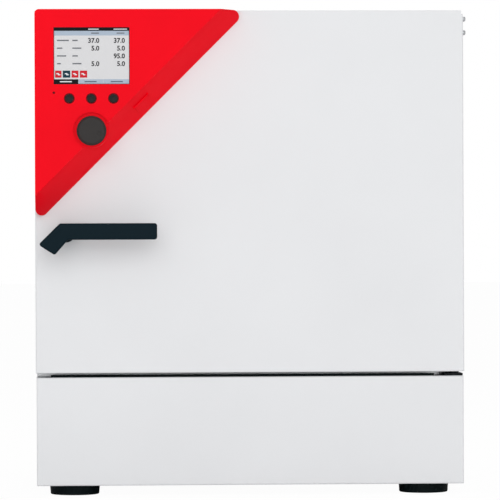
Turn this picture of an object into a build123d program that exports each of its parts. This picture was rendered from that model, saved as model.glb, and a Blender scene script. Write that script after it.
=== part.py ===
from build123d import *
import os

# Bench carbon dioxide incubator: an insulated cabinet with a side-hinged outer
# door, an inner glass door, a ribbed steel chamber with shelves and a water pan,
# a triangular control housing on the door and a technical space underneath.
# X is to the right seen from the front, the front looks along -Y and Z is up.
# The origin is on the table, under the centre of the whole object.

# Outside sizes
width = 580
door_height = 489.5
door_gap = 6
lower_height = 146
foot_height = 13.5
door_thickness = 56
seal_gap = 4.5
body_depth = 489.5
handle_reach = 54
rear_reach = 32

# Sheet metal
sheet = 1.5
casing_inset = 1
casing_drop = 1.5
casing_radius = 4
panel_depth = 20
panel_radius = 2

# Levels and planes
z_base = foot_height
z_deck = z_base + lower_height
z_door = z_deck + door_gap
z_top = z_door + door_height
z_casing = z_top - casing_drop
depth = handle_reach + door_thickness + seal_gap + body_depth + rear_reach
y_door = handle_reach - depth / 2
y_door_back = y_door + door_thickness
y_frame = y_door_back + seal_gap
y_rear = y_frame + body_depth
y_back = y_rear - sheet
y_panel_back = y_door + panel_depth
half = width / 2 - casing_inset
inner_half = half - sheet
z_ceiling = z_casing - sheet
z_floor_top = z_base + sheet

# Chamber
chamber_width = 400
chamber_height = 400
chamber_depth = 380
chamber_wall = 1.2
chamber_radius = 25
chamber_floor_rise = 49.5
chamber_setback = 31.5
y_chamber = y_frame + chamber_setback
y_chamber_back = y_chamber + chamber_depth
z_chamber = z_deck + chamber_floor_rise
z_middle = z_chamber + chamber_height / 2
rib_depth = 9
rib_height = 6
rib_count = 6
rib_pitch = 55
first_rib = 70
rib_front_inset = 22
rib_back_inset = 18
jacket = 2
service_space = 34.5

# Front frame and its stepped recess, which takes the inner glass door
recess_width = 452
recess_height = 446
recess_radius = 2

# Outer hinge
hinge_inset = 12
hinge_plate = 3
hinge_arm_width = 18
hinge_arm_nose = 9
hinge_arm_anchor = 43
hinge_pin_radius = 4
hinge_running = 0.05
x_hinge = width / 2 - hinge_inset
y_hinge = y_door + door_thickness / 2
z_arm = z_ceiling - 1

fit = 0.3


def block(x0, x1, y0, y1, z0, z1, mode=Mode.ADD):
    """A box between two corners, added to the part that is being built."""
    with Locations(((x0 + x1) / 2, (y0 + y1) / 2, (z0 + z1) / 2)):
        Box(x1 - x0, y1 - y0, z1 - z0, mode=mode)


def front_plane(y):
    """The plane at this depth, drawn as seen from the front: X right, Z up."""
    return Plane(origin=(0, y, 0), x_dir=(1, 0, 0), z_dir=(0, -1, 0))


def rear_plane(y):
    """The same drawing directions, with extrusions going to the rear."""
    return Plane(origin=(0, y, 0), x_dir=(-1, 0, 0), z_dir=(0, 1, 0))


os.makedirs("parts", exist_ok=True)


def finish(piece, name):
    """Label a finished piece and write its file."""
    piece.part.label = name
    export_step(piece.part, "parts/" + name + ".step")


# Outer casing: one wrap of sheet, with sides that run forward under the door
with BuildPart() as outer_casing:
    with BuildSketch(Plane.YZ):
        with BuildLine():
            Polyline(
                (y_panel_back, z_base), (y_rear, z_base), (y_rear, z_casing),
                (y_frame, z_casing), (y_frame, z_deck), (y_panel_back, z_deck), close=True)
        make_face()
    extrude(amount=half, both=True)
    fillet(outer_casing.edges().filter_by(Axis.Y).group_by(Axis.Z)[-1], casing_radius)
    level_faces = outer_casing.faces().filter_by(Axis.Z).sort_by(Axis.Z)
    offset(amount=-sheet, openings=outer_casing.faces().filter_by(Axis.Y) + level_faces[:-1])
    # Seat of the upper hinge arm, let into the front edge of the top sheet
    block(x_hinge - hinge_arm_width / 2, x_hinge + hinge_arm_width / 2,
          y_frame - 1, y_frame + hinge_arm_anchor, z_ceiling - sheet, z_casing + 1,
          mode=Mode.SUBTRACT)
finish(outer_casing, "outer_casing")

# Base pan: the bottom sheet with air slots for the technical space
slot_length = 60
slot_width = 4
slot_pitch = 12
with BuildPart() as base_pan:
    block(-inner_half, inner_half, y_panel_back, y_back, z_base, z_floor_top)
    with BuildSketch(Plane.XY.offset(z_base)):
        with Locations((0, y_frame + 60), (0, y_back - 80)):
            with GridLocations(90, slot_pitch, 3, 4):
                SlotOverall(slot_length, slot_width)
    extrude(amount=sheet, mode=Mode.SUBTRACT)
finish(base_pan, "base_pan")

# Lower front panel: a shallow tray, flush with the closed door
with BuildPart() as lower_front_panel:
    block(-half, half, y_door, y_panel_back, z_base, z_deck)
    fillet(lower_front_panel.faces().sort_by(Axis.Y)[0].edges(), panel_radius)
    offset(amount=-sheet, openings=lower_front_panel.faces().sort_by(Axis.Y)[-1])
finish(lower_front_panel, "lower_front_panel")

# Deck between the chamber and the technical space
with BuildPart() as compartment_floor:
    block(-inner_half, inner_half, y_panel_back, y_back, z_deck - sheet, z_deck)
finish(compartment_floor, "compartment_floor")

# Rear connections: places on the rear panel
z_connectors = z_base + 56
x_power = 205
inlet_width = 27.5
inlet_height = 20
inlet_depth = 24
x_switch = 155
switch_width = 19
switch_height = 28
x_ethernet = 105
ethernet_width = 16.5
ethernet_height = 14
ethernet_depth = 21
x_gas = -150
gas_spacing = 50
nozzle_radius = 3
nozzle_thread_radius = 6
x_port = -110
z_port = z_middle + 70
port_radius = 15
port_wall = 1.5
port_flange_radius = 24
switch_gap = 0.5

# Rear panel with louvres, openings for the connections and the access port
with BuildPart() as rear_panel:
    block(-inner_half, inner_half, y_back, y_rear, z_base, z_ceiling)
    fillet(rear_panel.edges().filter_by(Axis.Y).group_by(Axis.Z)[-1], casing_radius - sheet)
    with BuildSketch(rear_plane(y_back)):
        with Locations((0, z_base + 110)):
            with GridLocations(80, slot_pitch, 5, 3):
                SlotOverall(slot_length, slot_width)
        with Locations((0, z_ceiling - 50)):
            with GridLocations(80, slot_pitch, 5, 4):
                SlotOverall(slot_length, slot_width)
        with Locations((-x_power, z_connectors)):
            Rectangle(inlet_width, inlet_height)
        with Locations((-x_switch, z_connectors)):
            Rectangle(switch_width + 2, switch_height + 2)
        with Locations((-x_ethernet, z_connectors)):
            Rectangle(ethernet_width, ethernet_height)
        with Locations((-x_gas, z_connectors), (gas_spacing - x_gas, z_connectors)):
            Circle(nozzle_thread_radius)
        with Locations((-x_port, z_port)):
            Circle(port_radius + port_wall)
    extrude(amount=sheet, mode=Mode.SUBTRACT)
finish(rear_panel, "rear_panel")

# Latch: a tongue behind the door, turned by the handle, in a window of the frame
lever_x = 41.5 - width / 2
lever_z = z_middle - 54.6
window_width = 39.5
window_height = 62
window_shift = 10.75
tongue_length = 22
tongue_height = 9
tongue_thickness = 8
spindle_radius = 4.5
y_tongue = y_frame + 1
roller_radius = 5
roller_length = 14
strike_plate = 2

# Front frame: the plate round the opening, a stepped recess and the chamber's rim
with BuildPart() as front_frame:
    block(-inner_half, inner_half, y_frame, y_frame + sheet, z_deck, z_ceiling)
    fillet(front_frame.edges().filter_by(Axis.Y).group_by(Axis.Z)[-1], casing_radius - sheet)
    with BuildSketch(rear_plane(y_frame)):
        with Locations((0, z_middle)):
            RectangleRounded(recess_width + 2 * sheet, recess_height + 2 * sheet, recess_radius + sheet)
    extrude(amount=chamber_setback)
    with BuildSketch(rear_plane(y_frame)):
        with Locations((0, z_middle)):
            RectangleRounded(recess_width, recess_height, recess_radius)
    extrude(amount=chamber_setback - sheet, mode=Mode.SUBTRACT)
    with BuildSketch(rear_plane(y_frame)):
        with Locations((0, z_middle)):
            RectangleRounded(chamber_width, chamber_height, chamber_radius)
        with Locations((window_shift - lever_x, lever_z)):
            RectangleRounded(window_width, window_height, 4)
    extrude(amount=chamber_setback, mode=Mode.SUBTRACT)
    block(x_hinge - hinge_arm_width / 2, x_hinge + hinge_arm_width / 2,
          y_frame - 1, y_frame + sheet + 1, z_arm, z_ceiling + 1, mode=Mode.SUBTRACT)
finish(front_frame, "front_frame")

# Chamber: a deep-drawn shell with rounded corners and ribs that carry the shelves
with BuildPart() as inner_chamber:
    with BuildSketch(rear_plane(y_chamber)):
        with Locations((0, z_middle)):
            RectangleRounded(chamber_width + 2 * chamber_wall, chamber_height + 2 * chamber_wall,
                             chamber_radius + chamber_wall)
    extrude(amount=chamber_depth + chamber_wall)
    fillet(inner_chamber.faces().sort_by(Axis.Y)[-1].edges(), chamber_radius / 2)
    offset(amount=-chamber_wall, openings=inner_chamber.faces().sort_by(Axis.Y)[0])
    for side in (-1, 1):
        for level in range(rib_count):
            rib_z = z_chamber + first_rib + level * rib_pitch
            with BuildSketch(rear_plane(y_chamber + rib_front_inset)):
                with Locations((-side * (chamber_width + chamber_wall) / 2, rib_z - rib_height / 2)):
                    SlotCenterToCenter(2 * rib_depth - rib_height, rib_height)
            extrude(amount=chamber_depth - rib_front_inset - rib_back_inset)
    # The ribs are wider than they are deep, so their outer halves are trimmed off
    outside = chamber_width / 2 + chamber_wall
    for side in (-1, 1):
        block(side * (outside + rib_depth) - rib_depth, side * (outside + rib_depth) + rib_depth,
              y_chamber, y_chamber_back, z_chamber + chamber_radius,
              z_chamber + chamber_height - chamber_radius, mode=Mode.SUBTRACT)
    with BuildSketch(rear_plane(y_chamber_back - 1)):
        with Locations((-x_port, z_port)):
            Circle(port_radius + port_wall)
    extrude(amount=chamber_wall + 2, mode=Mode.SUBTRACT)
finish(inner_chamber, "inner_chamber")

# Heating jacket: a sheet wrap against the chamber's top, sides, floor and back
with BuildPart() as chamber_envelope:
    with BuildSketch(rear_plane(y_chamber)):
        with Locations((0, z_middle)):
            RectangleRounded(chamber_width + 2 * chamber_wall, chamber_height + 2 * chamber_wall,
                             chamber_radius + chamber_wall)
    extrude(amount=chamber_depth + chamber_wall)
    fillet(chamber_envelope.faces().sort_by(Axis.Y)[-1].edges(), chamber_radius / 2)

with BuildPart() as jacket_envelope:
    with BuildSketch(rear_plane(y_chamber)):
        with Locations((0, z_middle)):
            RectangleRounded(chamber_width + 2 * (chamber_wall + jacket),
                             chamber_height + 2 * (chamber_wall + jacket),
                             chamber_radius + chamber_wall + jacket)
    extrude(amount=chamber_depth + chamber_wall + jacket)
    fillet(jacket_envelope.faces().sort_by(Axis.Y)[-1].edges(), chamber_radius / 2 + jacket)

with BuildPart() as port_bore:
    with BuildSketch(rear_plane(y_chamber_back - 1)):
        with Locations((-x_port, z_port)):
            Circle(port_radius + port_wall)
    extrude(amount=y_rear - y_chamber_back + 1)

with BuildPart() as heating_jacket:
    add(jacket_envelope.part)
    add(chamber_envelope.part, mode=Mode.SUBTRACT)
    add(port_bore.part, mode=Mode.SUBTRACT)
finish(heating_jacket, "heating_jacket")

# Insulation between the jacket and the casing, with pockets for what is set in it
y_insulation = y_frame + sheet
y_insulation_back = y_back - service_space
strike_pocket_depth = 24
with BuildPart() as chamber_insulation:
    block(-inner_half, inner_half, y_insulation, y_insulation_back, z_deck, z_ceiling)
    fillet(chamber_insulation.edges().filter_by(Axis.Y).group_by(Axis.Z)[-1], casing_radius - sheet)
    with BuildSketch(rear_plane(y_insulation)):
        with Locations((0, z_middle)):
            RectangleRounded(recess_width + 2 * sheet, recess_height + 2 * sheet, recess_radius + sheet)
    extrude(amount=chamber_setback - sheet, mode=Mode.SUBTRACT)
    with BuildSketch(rear_plane(y_insulation)):
        with Locations((window_shift - lever_x, lever_z)):
            Rectangle(window_width + 4, window_height + 20)
    extrude(amount=strike_pocket_depth, mode=Mode.SUBTRACT)
    block(x_hinge - hinge_arm_width / 2, x_hinge + hinge_arm_width / 2,
          y_frame, y_frame + hinge_arm_anchor, z_arm, z_ceiling, mode=Mode.SUBTRACT)
    add(jacket_envelope.part, mode=Mode.SUBTRACT)
    add(port_bore.part, mode=Mode.SUBTRACT)
finish(chamber_insulation, "chamber_insulation")

# Access port: a lined sleeve through the back, closed by a soft plug
with BuildPart() as access_port_sleeve:
    with BuildSketch(rear_plane(y_chamber_back)):
        with Locations((-x_port, z_port)):
            Circle(port_radius + port_wall)
            Circle(port_radius, mode=Mode.SUBTRACT)
    extrude(amount=y_rear - y_chamber_back)
    with BuildSketch(rear_plane(y_rear)):
        with Locations((-x_port, z_port)):
            Circle(port_flange_radius)
            Circle(port_radius, mode=Mode.SUBTRACT)
    extrude(amount=2)
finish(access_port_sleeve, "access_port_sleeve")

plug_head_radius = 21
plug_head = 8
with BuildPart() as port_plug:
    with BuildSketch(rear_plane(y_rear + 2 + fit)):
        with Locations((-x_port, z_port)):
            Circle(plug_head_radius)
    extrude(amount=plug_head)
    fillet(port_plug.edges().sort_by(Axis.Y)[-1], 3)
    with BuildSketch(rear_plane(y_chamber_back)):
        with Locations((-x_port, z_port)):
            Circle(port_radius - fit)
    extrude(amount=y_rear + 2 + fit - y_chamber_back)
    chamfer(port_plug.edges().sort_by(Axis.Y)[0], 2)
finish(port_plug, "port_plug")

# Shelves: perforated sheet with turned-down front and back edges
shelf_clearance = 4
shelf_sheet = 1.2
shelf_rim = 12
shelf_width = chamber_width - 2 * shelf_clearance
shelf_depth = chamber_depth - rib_front_inset - rib_back_inset
shelf_slot = 54
shelf_rows = 12
shelf_levels = (0, 2, 4)
y_shelf = y_chamber + rib_front_inset
for number, level in enumerate(shelf_levels, start=1):
    shelf_z = z_chamber + first_rib + level * rib_pitch + fit
    with BuildPart() as shelf:
        with BuildSketch(Plane.XY.offset(shelf_z)):
            with Locations((0, y_shelf + shelf_depth / 2)):
                RectangleRounded(shelf_width, shelf_depth, 4)
                with GridLocations(shelf_slot + 8, shelf_depth / (shelf_rows + 1), 6, shelf_rows):
                    Rectangle(shelf_slot, 12, mode=Mode.SUBTRACT)
        extrude(amount=shelf_sheet)
        rim_half = chamber_width / 2 - rib_depth - shelf_clearance
        for y_rim in (y_shelf, y_shelf + shelf_depth - shelf_sheet):
            block(-rim_half, rim_half, y_rim, y_rim + shelf_sheet, shelf_z - shelf_rim, shelf_z)
    finish(shelf, "shelf_" + str(number))

# Water pan on the chamber floor
pan_width = 300
pan_depth = 300
pan_height = 30
pan_sheet = 1
pan_lip = 6
pan_z = z_chamber + fit
y_pan = y_chamber_back - 30 - pan_depth / 2
with BuildPart() as water_pan:
    with BuildSketch(Plane.XY.offset(pan_z)):
        with Locations((0, y_pan)):
            RectangleRounded(pan_width, pan_depth, 20)
    extrude(amount=pan_height)
    fillet(water_pan.faces().sort_by(Axis.Z)[0].edges(), 6)
    offset(amount=-pan_sheet, openings=water_pan.faces().sort_by(Axis.Z)[-1])
    with BuildSketch(Plane.XY.offset(pan_z + pan_height - pan_sheet)):
        with Locations((0, y_pan)):
            RectangleRounded(pan_width + 2 * pan_lip, pan_depth + 2 * pan_lip, 20 + pan_lip)
            RectangleRounded(pan_width - 2 * pan_sheet, pan_depth - 2 * pan_sheet, 20 - pan_sheet,
                             mode=Mode.SUBTRACT)
    extrude(amount=pan_sheet)
finish(water_pan, "water_pan")

# Gas mixing head, gas sensor and temperature probe on the chamber's back wall
z_probes = z_middle + chamber_height / 2 - 34
mixing_head_width = 70
mixing_head_height = 36
mixing_head_depth = 26
mixing_head_corner = 8
mixing_head_edge = 5
mixing_nozzle_radius = 7
mixing_nozzle_bore = 3
mixing_nozzle_length = 10
with BuildPart() as gas_mixing_head:
    with BuildSketch(front_plane(y_chamber_back)):
        with Locations((0, z_probes)):
            RectangleRounded(mixing_head_width, mixing_head_height, mixing_head_corner)
    extrude(amount=mixing_head_depth)
    fillet(gas_mixing_head.faces().sort_by(Axis.Y)[0].edges(), mixing_head_edge)
    with BuildSketch(Plane.XY.offset(z_probes - mixing_head_height / 2)):
        with Locations((0, y_chamber_back - mixing_head_depth / 2)):
            Circle(mixing_nozzle_radius)
            Circle(mixing_nozzle_bore, mode=Mode.SUBTRACT)
    extrude(amount=-mixing_nozzle_length)
finish(gas_mixing_head, "gas_mixing_head")

probe_x = 90
sensor_flange_radius = 14
sensor_flange = 6
sensor_radius = 10
sensor_length = 46
sensor_edge = 3
with BuildPart() as co2_sensor:
    with BuildSketch(front_plane(y_chamber_back)):
        with Locations((probe_x, z_probes)):
            Circle(sensor_flange_radius)
    extrude(amount=sensor_flange)
    with BuildSketch(front_plane(y_chamber_back - sensor_flange)):
        with Locations((probe_x, z_probes)):
            Circle(sensor_radius)
    extrude(amount=sensor_length)
    fillet(co2_sensor.edges().sort_by(Axis.Y)[0], sensor_edge)
finish(co2_sensor, "co2_sensor")

probe_boss_radius = 7
probe_boss = 8
probe_radius = 3
probe_length = 62
probe_tip = 2
with BuildPart() as temperature_probe:
    with BuildSketch(front_plane(y_chamber_back)):
        with Locations((-probe_x, z_probes)):
            Circle(probe_boss_radius)
    extrude(amount=probe_boss)
    with BuildSketch(front_plane(y_chamber_back - probe_boss)):
        with Locations((-probe_x, z_probes)):
            Circle(probe_radius)
    extrude(amount=probe_length)
    fillet(temperature_probe.edges().sort_by(Axis.Y)[0], probe_tip)
finish(temperature_probe, "temperature_probe")

# Four feet
foot_radius = 33
foot_x = 238
foot_inset = 45
foot_places = [(side * foot_x, y) for side in (-1, 1) for y in (y_door + foot_inset, y_rear - foot_inset)]
with BuildPart() as feet:
    with BuildSketch():
        with Locations(*foot_places):
            Circle(foot_radius)
    extrude(amount=foot_height, taper=-4)
    fillet(feet.edges().filter_by(GeomType.CIRCLE).group_by(Axis.Z)[0], 2)
finish(feet, "feet")

# Inner door gasket, a silicone ring on the rim of the recess
inner_seal_width = 10
inner_seal_depth = 6
inner_seal_outer = chamber_width / 2 + 14
y_inner_seal = y_chamber - sheet
with BuildPart() as inner_door_gasket:
    with BuildSketch(front_plane(y_inner_seal)):
        with Locations((0, z_middle)):
            RectangleRounded(2 * inner_seal_outer, 2 * inner_seal_outer, 28)
            RectangleRounded(2 * (inner_seal_outer - inner_seal_width),
                             2 * (inner_seal_outer - inner_seal_width), 18, mode=Mode.SUBTRACT)
    extrude(amount=inner_seal_depth)
    fillet(inner_door_gasket.faces().sort_by(Axis.Y)[0].edges(), 2)
finish(inner_door_gasket, "inner_door_gasket")

# Upper hinge: a flat arm let into the casing's top, with its pin pointing down
notch_gap = 0.6
z_notch = z_arm - notch_gap
pin_engagement = 22
with BuildPart() as hinge_bracket_upper:
    with BuildSketch(Plane.XY.offset(z_arm)):
        with Locations((x_hinge, (y_hinge + y_frame + hinge_arm_anchor) / 2)):
            Rectangle(hinge_arm_width, y_frame + hinge_arm_anchor - y_hinge)
        with Locations((x_hinge, y_hinge)):
            Circle(hinge_arm_nose)
    extrude(amount=hinge_plate)
    with BuildSketch(Plane.XY.offset(z_notch - pin_engagement)):
        with Locations((x_hinge, y_hinge)):
            Circle(hinge_pin_radius)
    extrude(amount=z_arm - z_notch + pin_engagement)
    chamfer(hinge_bracket_upper.edges().sort_by(Axis.Z)[0], 1)
finish(hinge_bracket_upper, "hinge_bracket_upper")

# Lower hinge: a plate on the deck, with a collared pin pointing up
lower_plate_width = 28
collar_radius = 7
with BuildPart() as hinge_bracket_lower:
    with BuildSketch(Plane.XY.offset(z_deck)):
        with Locations((x_hinge - 2, (y_hinge + y_frame) / 2 - 6)):
            RectangleRounded(lower_plate_width, y_frame - y_hinge + 12, 4)
        with Locations((x_hinge, y_hinge)):
            Circle(hinge_pin_radius, mode=Mode.SUBTRACT)
    extrude(amount=hinge_plate)
    plate_screws = [(x_hinge + side, y_frame - 8, z_deck + hinge_plate) for side in (-8, 5)]
    with Locations(*plate_screws):
        CounterSinkHole(2, 3.6, hinge_plate)
finish(hinge_bracket_lower, "hinge_bracket_lower")

with BuildPart() as hinge_pin_lower:
    with BuildSketch(Plane.XY.offset(z_deck)):
        with Locations((x_hinge, y_hinge)):
            Circle(hinge_pin_radius)
    extrude(amount=door_gap + pin_engagement)
    with BuildSketch(Plane.XY.offset(z_deck + hinge_plate)):
        with Locations((x_hinge, y_hinge)):
            Circle(collar_radius)
    extrude(amount=door_gap - hinge_plate - fit)
    chamfer(hinge_pin_lower.edges().sort_by(Axis.Z)[-1], 1)
finish(hinge_pin_lower, "hinge_pin_lower")

# Sill strip: a dark seal along the gap, on the deck
sill_height = 3.2
sill_depth = 8
sill_end = 20
with BuildPart() as sill_strip:
    block(sill_end - width / 2, x_hinge - lower_plate_width, y_door + 12, y_door + 12 + sill_depth,
          z_deck, z_deck + sill_height)
    fillet(sill_strip.edges().filter_by(Axis.X).group_by(Axis.Z)[-1], 1)
finish(sill_strip, "sill_strip")

# Latch strike: a bracket behind the window, with a roller above the tongue
roller_z = lever_z + tongue_height / 2 + fit + roller_radius
x_strike = lever_x - tongue_length + roller_length / 2
y_roller = y_tongue + roller_radius
strike_ear = 2
strike_pin_radius = 2
with BuildPart() as latch_strike:
    block(x_strike - roller_length / 2 - strike_ear - fit, x_strike + roller_length / 2 + strike_ear + fit,
          y_roller - 4, y_frame + sheet + strike_pocket_depth - fit,
          roller_z - 4, roller_z + roller_radius + 8)
    block(x_strike - roller_length / 2 - fit, x_strike + roller_length / 2 + fit,
          y_roller - 5, y_frame + sheet + strike_pocket_depth - strike_plate - fit,
          roller_z - 5, roller_z + roller_radius + 8 - strike_plate, mode=Mode.SUBTRACT)
    block(x_strike - 12, x_strike + 20, y_frame + sheet, y_frame + sheet + strike_plate,
          lever_z + window_height / 2, lever_z + window_height / 2 + 9)
    block(x_strike - 8, x_strike + 8, y_frame + sheet, y_frame + sheet + strike_pocket_depth - fit,
          roller_z + roller_radius + 6, lever_z + window_height / 2 + 2)
    with BuildSketch(Plane.YZ.offset(x_strike - roller_length)):
        with Locations((y_roller, roller_z)):
            Circle(strike_pin_radius)
    extrude(amount=2 * roller_length, mode=Mode.SUBTRACT)
finish(latch_strike, "latch_strike")

with BuildPart() as strike_roller:
    with BuildSketch(Plane.YZ.offset(x_strike - roller_length / 2)):
        with Locations((y_roller, roller_z)):
            Circle(roller_radius)
    extrude(amount=roller_length)
    with BuildSketch(Plane.YZ.offset(x_strike - roller_length / 2 - strike_ear - fit)):
        with Locations((y_roller, roller_z)):
            Circle(strike_pin_radius)
    extrude(amount=roller_length + 2 * (strike_ear + fit))
finish(strike_roller, "strike_roller")

# Power inlet: an open socket with three blades and a flange
inlet_flange_width = 50
inlet_flange_height = 24
inlet_flange = 3
inlet_corner = 2
inlet_wall = 2
socket_depth = 17
blade_width = 2
blade_height = 4
blade_length = 14
blade_pitch = 7
with BuildPart() as power_inlet:
    with BuildSketch(rear_plane(y_rear)):
        with Locations((-x_power, z_connectors)):
            RectangleRounded(inlet_flange_width, inlet_flange_height, inlet_corner + 1)
    extrude(amount=inlet_flange)
    with BuildSketch(rear_plane(y_rear - inlet_depth)):
        with Locations((-x_power, z_connectors)):
            Rectangle(inlet_width, inlet_height)
    extrude(amount=inlet_depth)
    with BuildSketch(rear_plane(y_rear + inlet_flange - socket_depth)):
        with Locations((-x_power, z_connectors)):
            RectangleRounded(inlet_width - 2 * inlet_wall, inlet_height - 2 * inlet_wall, inlet_corner)
    extrude(amount=socket_depth, mode=Mode.SUBTRACT)
    with BuildSketch(rear_plane(y_rear + inlet_flange - socket_depth - 1)):
        with Locations(*[(blade * blade_pitch - x_power, z_connectors) for blade in (-1, 0, 1)]):
            Rectangle(blade_width, blade_height)
    extrude(amount=blade_length)
finish(power_inlet, "power_inlet")

# Power switch: a rocker in a frame
rocker_pivot_radius = 1.5
rocker_half = 10
rocker_end = 12
rocker_rise = 8
rocker_middle = 5
switch_rim = 3
switch_wall = 1
switch_flange = 2
switch_depth = 20
with BuildPart() as switch_frame:
    with BuildSketch(rear_plane(y_rear)):
        with Locations((-x_switch, z_connectors)):
            RectangleRounded(switch_width + 2 * switch_rim, switch_height + 2 * switch_rim, switch_flange)
            Rectangle(switch_width, switch_height, mode=Mode.SUBTRACT)
    extrude(amount=switch_flange)
    with BuildSketch(rear_plane(y_rear - switch_depth)):
        with Locations((-x_switch, z_connectors)):
            Rectangle(switch_width + 2 * switch_wall, switch_height + 2 * switch_wall)
            Rectangle(switch_width, switch_height, mode=Mode.SUBTRACT)
    extrude(amount=switch_depth)
    with BuildSketch(rear_plane(y_rear - switch_depth)):
        with Locations((-x_switch, z_connectors)):
            Rectangle(switch_width + 2 * switch_wall, switch_height + 2 * switch_wall)
    extrude(amount=switch_flange)
finish(switch_frame, "switch_frame")

y_rocker = y_rear - 4
with BuildPart() as power_switch:
    with BuildSketch(Plane.YZ.offset(x_switch - switch_width / 2 + switch_gap)):
        with BuildLine():
            Polyline(
                (y_rocker, z_connectors - rocker_half), (y_rocker + rocker_rise, z_connectors - rocker_end),
                (y_rocker + rocker_middle, z_connectors), (y_rocker + rocker_rise, z_connectors + rocker_end),
                (y_rocker, z_connectors + rocker_half), (y_rocker - rocker_middle, z_connectors),
                close=True)
        make_face()
        with Locations((y_rocker, z_connectors)):
            Circle(rocker_pivot_radius, mode=Mode.SUBTRACT)
    extrude(amount=switch_width - 2 * switch_gap)
finish(power_switch, "power_switch")

# Ethernet socket
jack_width = 11.7
jack_height = 8
jack_back = 5
with BuildPart() as ethernet_socket:
    with BuildSketch(front_plane(y_rear)):
        with Locations((x_ethernet, z_connectors)):
            Rectangle(ethernet_width, ethernet_height)
    extrude(amount=ethernet_depth)
    with BuildSketch(front_plane(y_rear)):
        with Locations((x_ethernet, z_connectors)):
            Rectangle(jack_width, jack_height)
    extrude(amount=ethernet_depth - jack_back, mode=Mode.SUBTRACT)
finish(ethernet_socket, "ethernet_socket")

# Gas inlets: threaded bodies with hose nozzles to the rear
gas_places = [(-x_gas, z_connectors), (gas_spacing - x_gas, z_connectors)]
nozzle_bore = 1.6
nozzle_nut = 10
nozzle_stem = 16
with BuildPart() as gas_inlets:
    with BuildSketch(rear_plane(y_back - nozzle_stem)):
        with Locations(*gas_places):
            Circle(nozzle_thread_radius)
    extrude(amount=nozzle_stem + sheet)
    with BuildSketch(rear_plane(y_rear)):
        with Locations(*gas_places):
            RegularPolygon(nozzle_nut, 6)
    extrude(amount=nozzle_nut)
    with BuildSketch(rear_plane(y_rear + nozzle_nut)):
        with Locations(*gas_places):
            Circle(nozzle_radius)
    extrude(amount=rear_reach - nozzle_nut)
    with BuildSketch(rear_plane(y_back - nozzle_stem)):
        with Locations(*gas_places):
            Circle(nozzle_bore)
    extrude(amount=nozzle_stem + sheet + rear_reach, mode=Mode.SUBTRACT)
finish(gas_inlets, "gas_inlets")

# Electrics and gas valves in the technical space, on the base pan
side_space = 57.5
rear_space = 70
supply_width = 140
supply_depth = 160
supply_height = 50
supply_slots = 8
supply_slot_pitch = 12
supply_slot_rows = 60
supply_slot_length = 50
supply_slot_width = 4
supply_slot_depth = 1.5
x_supply = inner_half - side_space - supply_width / 2
y_supply = y_back - rear_space - supply_depth / 2
with BuildPart() as power_supply:
    block(x_supply - supply_width / 2, x_supply + supply_width / 2,
          y_supply - supply_depth / 2, y_supply + supply_depth / 2, z_floor_top, z_floor_top + supply_height)
    with BuildSketch(Plane.XY.offset(z_floor_top + supply_height)):
        with Locations((x_supply, y_supply)):
            with GridLocations(supply_slot_pitch, supply_slot_rows, supply_slots, 2):
                SlotOverall(supply_slot_length, supply_slot_width, rotation=90)
    extrude(amount=-supply_slot_depth, mode=Mode.SUBTRACT)
finish(power_supply, "power_supply")

board_width = 120
board_depth = 160
board_thickness = 1.6
board_spacer = 10
board_spacer_radius = 3
board_edge = 6
y_board = y_back - 140
z_board_top = z_floor_top + board_spacer + board_thickness
with BuildPart() as control_board:
    block(-board_width / 2, board_width / 2, y_board - board_depth / 2, y_board + board_depth / 2,
          z_floor_top + board_spacer, z_board_top)
    with BuildSketch(Plane.XY.offset(z_floor_top)):
        with Locations((0, y_board)):
            with GridLocations(board_width - 2 * board_edge, board_depth - 2 * board_edge, 2, 2):
                Circle(board_spacer_radius)
    extrude(amount=board_spacer)
    # The processor, the relays and the plug strip
    block(-20, 20, y_board - 20, y_board + 20, z_board_top, z_board_top + 3.4)
    block(-50, -30, y_board - 70, y_board + 30, z_board_top, z_board_top + 12.4)
    block(32, 50, y_board - 60, y_board + 40, z_board_top, z_board_top + 8.4)
finish(control_board, "control_board")

valve_width = 100
valve_depth = 50
valve_height = 40
coil_radius = 14
coil_height = 34
coil_edge = 3
coil_pitch = 50
x_valve = side_space + valve_width / 2 - inner_half
y_valve = y_back - rear_space - valve_depth / 2
with BuildPart() as gas_valve_block:
    block(x_valve - valve_width / 2, x_valve + valve_width / 2,
          y_valve - valve_depth / 2, y_valve + valve_depth / 2, z_floor_top, z_floor_top + valve_height)
    with BuildSketch(Plane.XY.offset(z_floor_top + valve_height)):
        with Locations((x_valve - coil_pitch / 2, y_valve), (x_valve + coil_pitch / 2, y_valve)):
            Circle(coil_radius)
    extrude(amount=coil_height)
    fillet(gas_valve_block.edges().filter_by(GeomType.CIRCLE).group_by(Axis.Z)[-1], coil_edge)
finish(gas_valve_block, "gas_valve_block")

# Inner glass door: one pane with two hinge clamps and a pull knob
glass_width = 436
glass_height = 430
glass_thickness = 5
y_glass_back = y_inner_seal - inner_seal_depth - fit
y_glass = y_glass_back - glass_thickness
x_glass_hinge = glass_width / 2 + 1
glass_barrel_radius = 4.5
y_glass_hinge = y_glass - glass_barrel_radius - 0.2
clamp_height = 20
clamp_reach = 38
clamp_thickness = 3
clamp_pin_radius = 2.5
knob_hole_radius = 4
x_glass_knob = 14 - glass_width / 2
glass_knob_reach = 16
with BuildPart() as inner_glass:
    with BuildSketch(front_plane(y_glass_back)):
        with Locations((0, z_middle)):
            RectangleRounded(glass_width, glass_height, 8)
        with Locations((x_glass_knob, z_middle)):
            Circle(knob_hole_radius, mode=Mode.SUBTRACT)
    extrude(amount=glass_thickness)
    chamfer(inner_glass.faces().sort_by(Axis.Y)[0].outer_wire().edges(), 0.8)
finish(inner_glass, "inner_glass")

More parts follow.
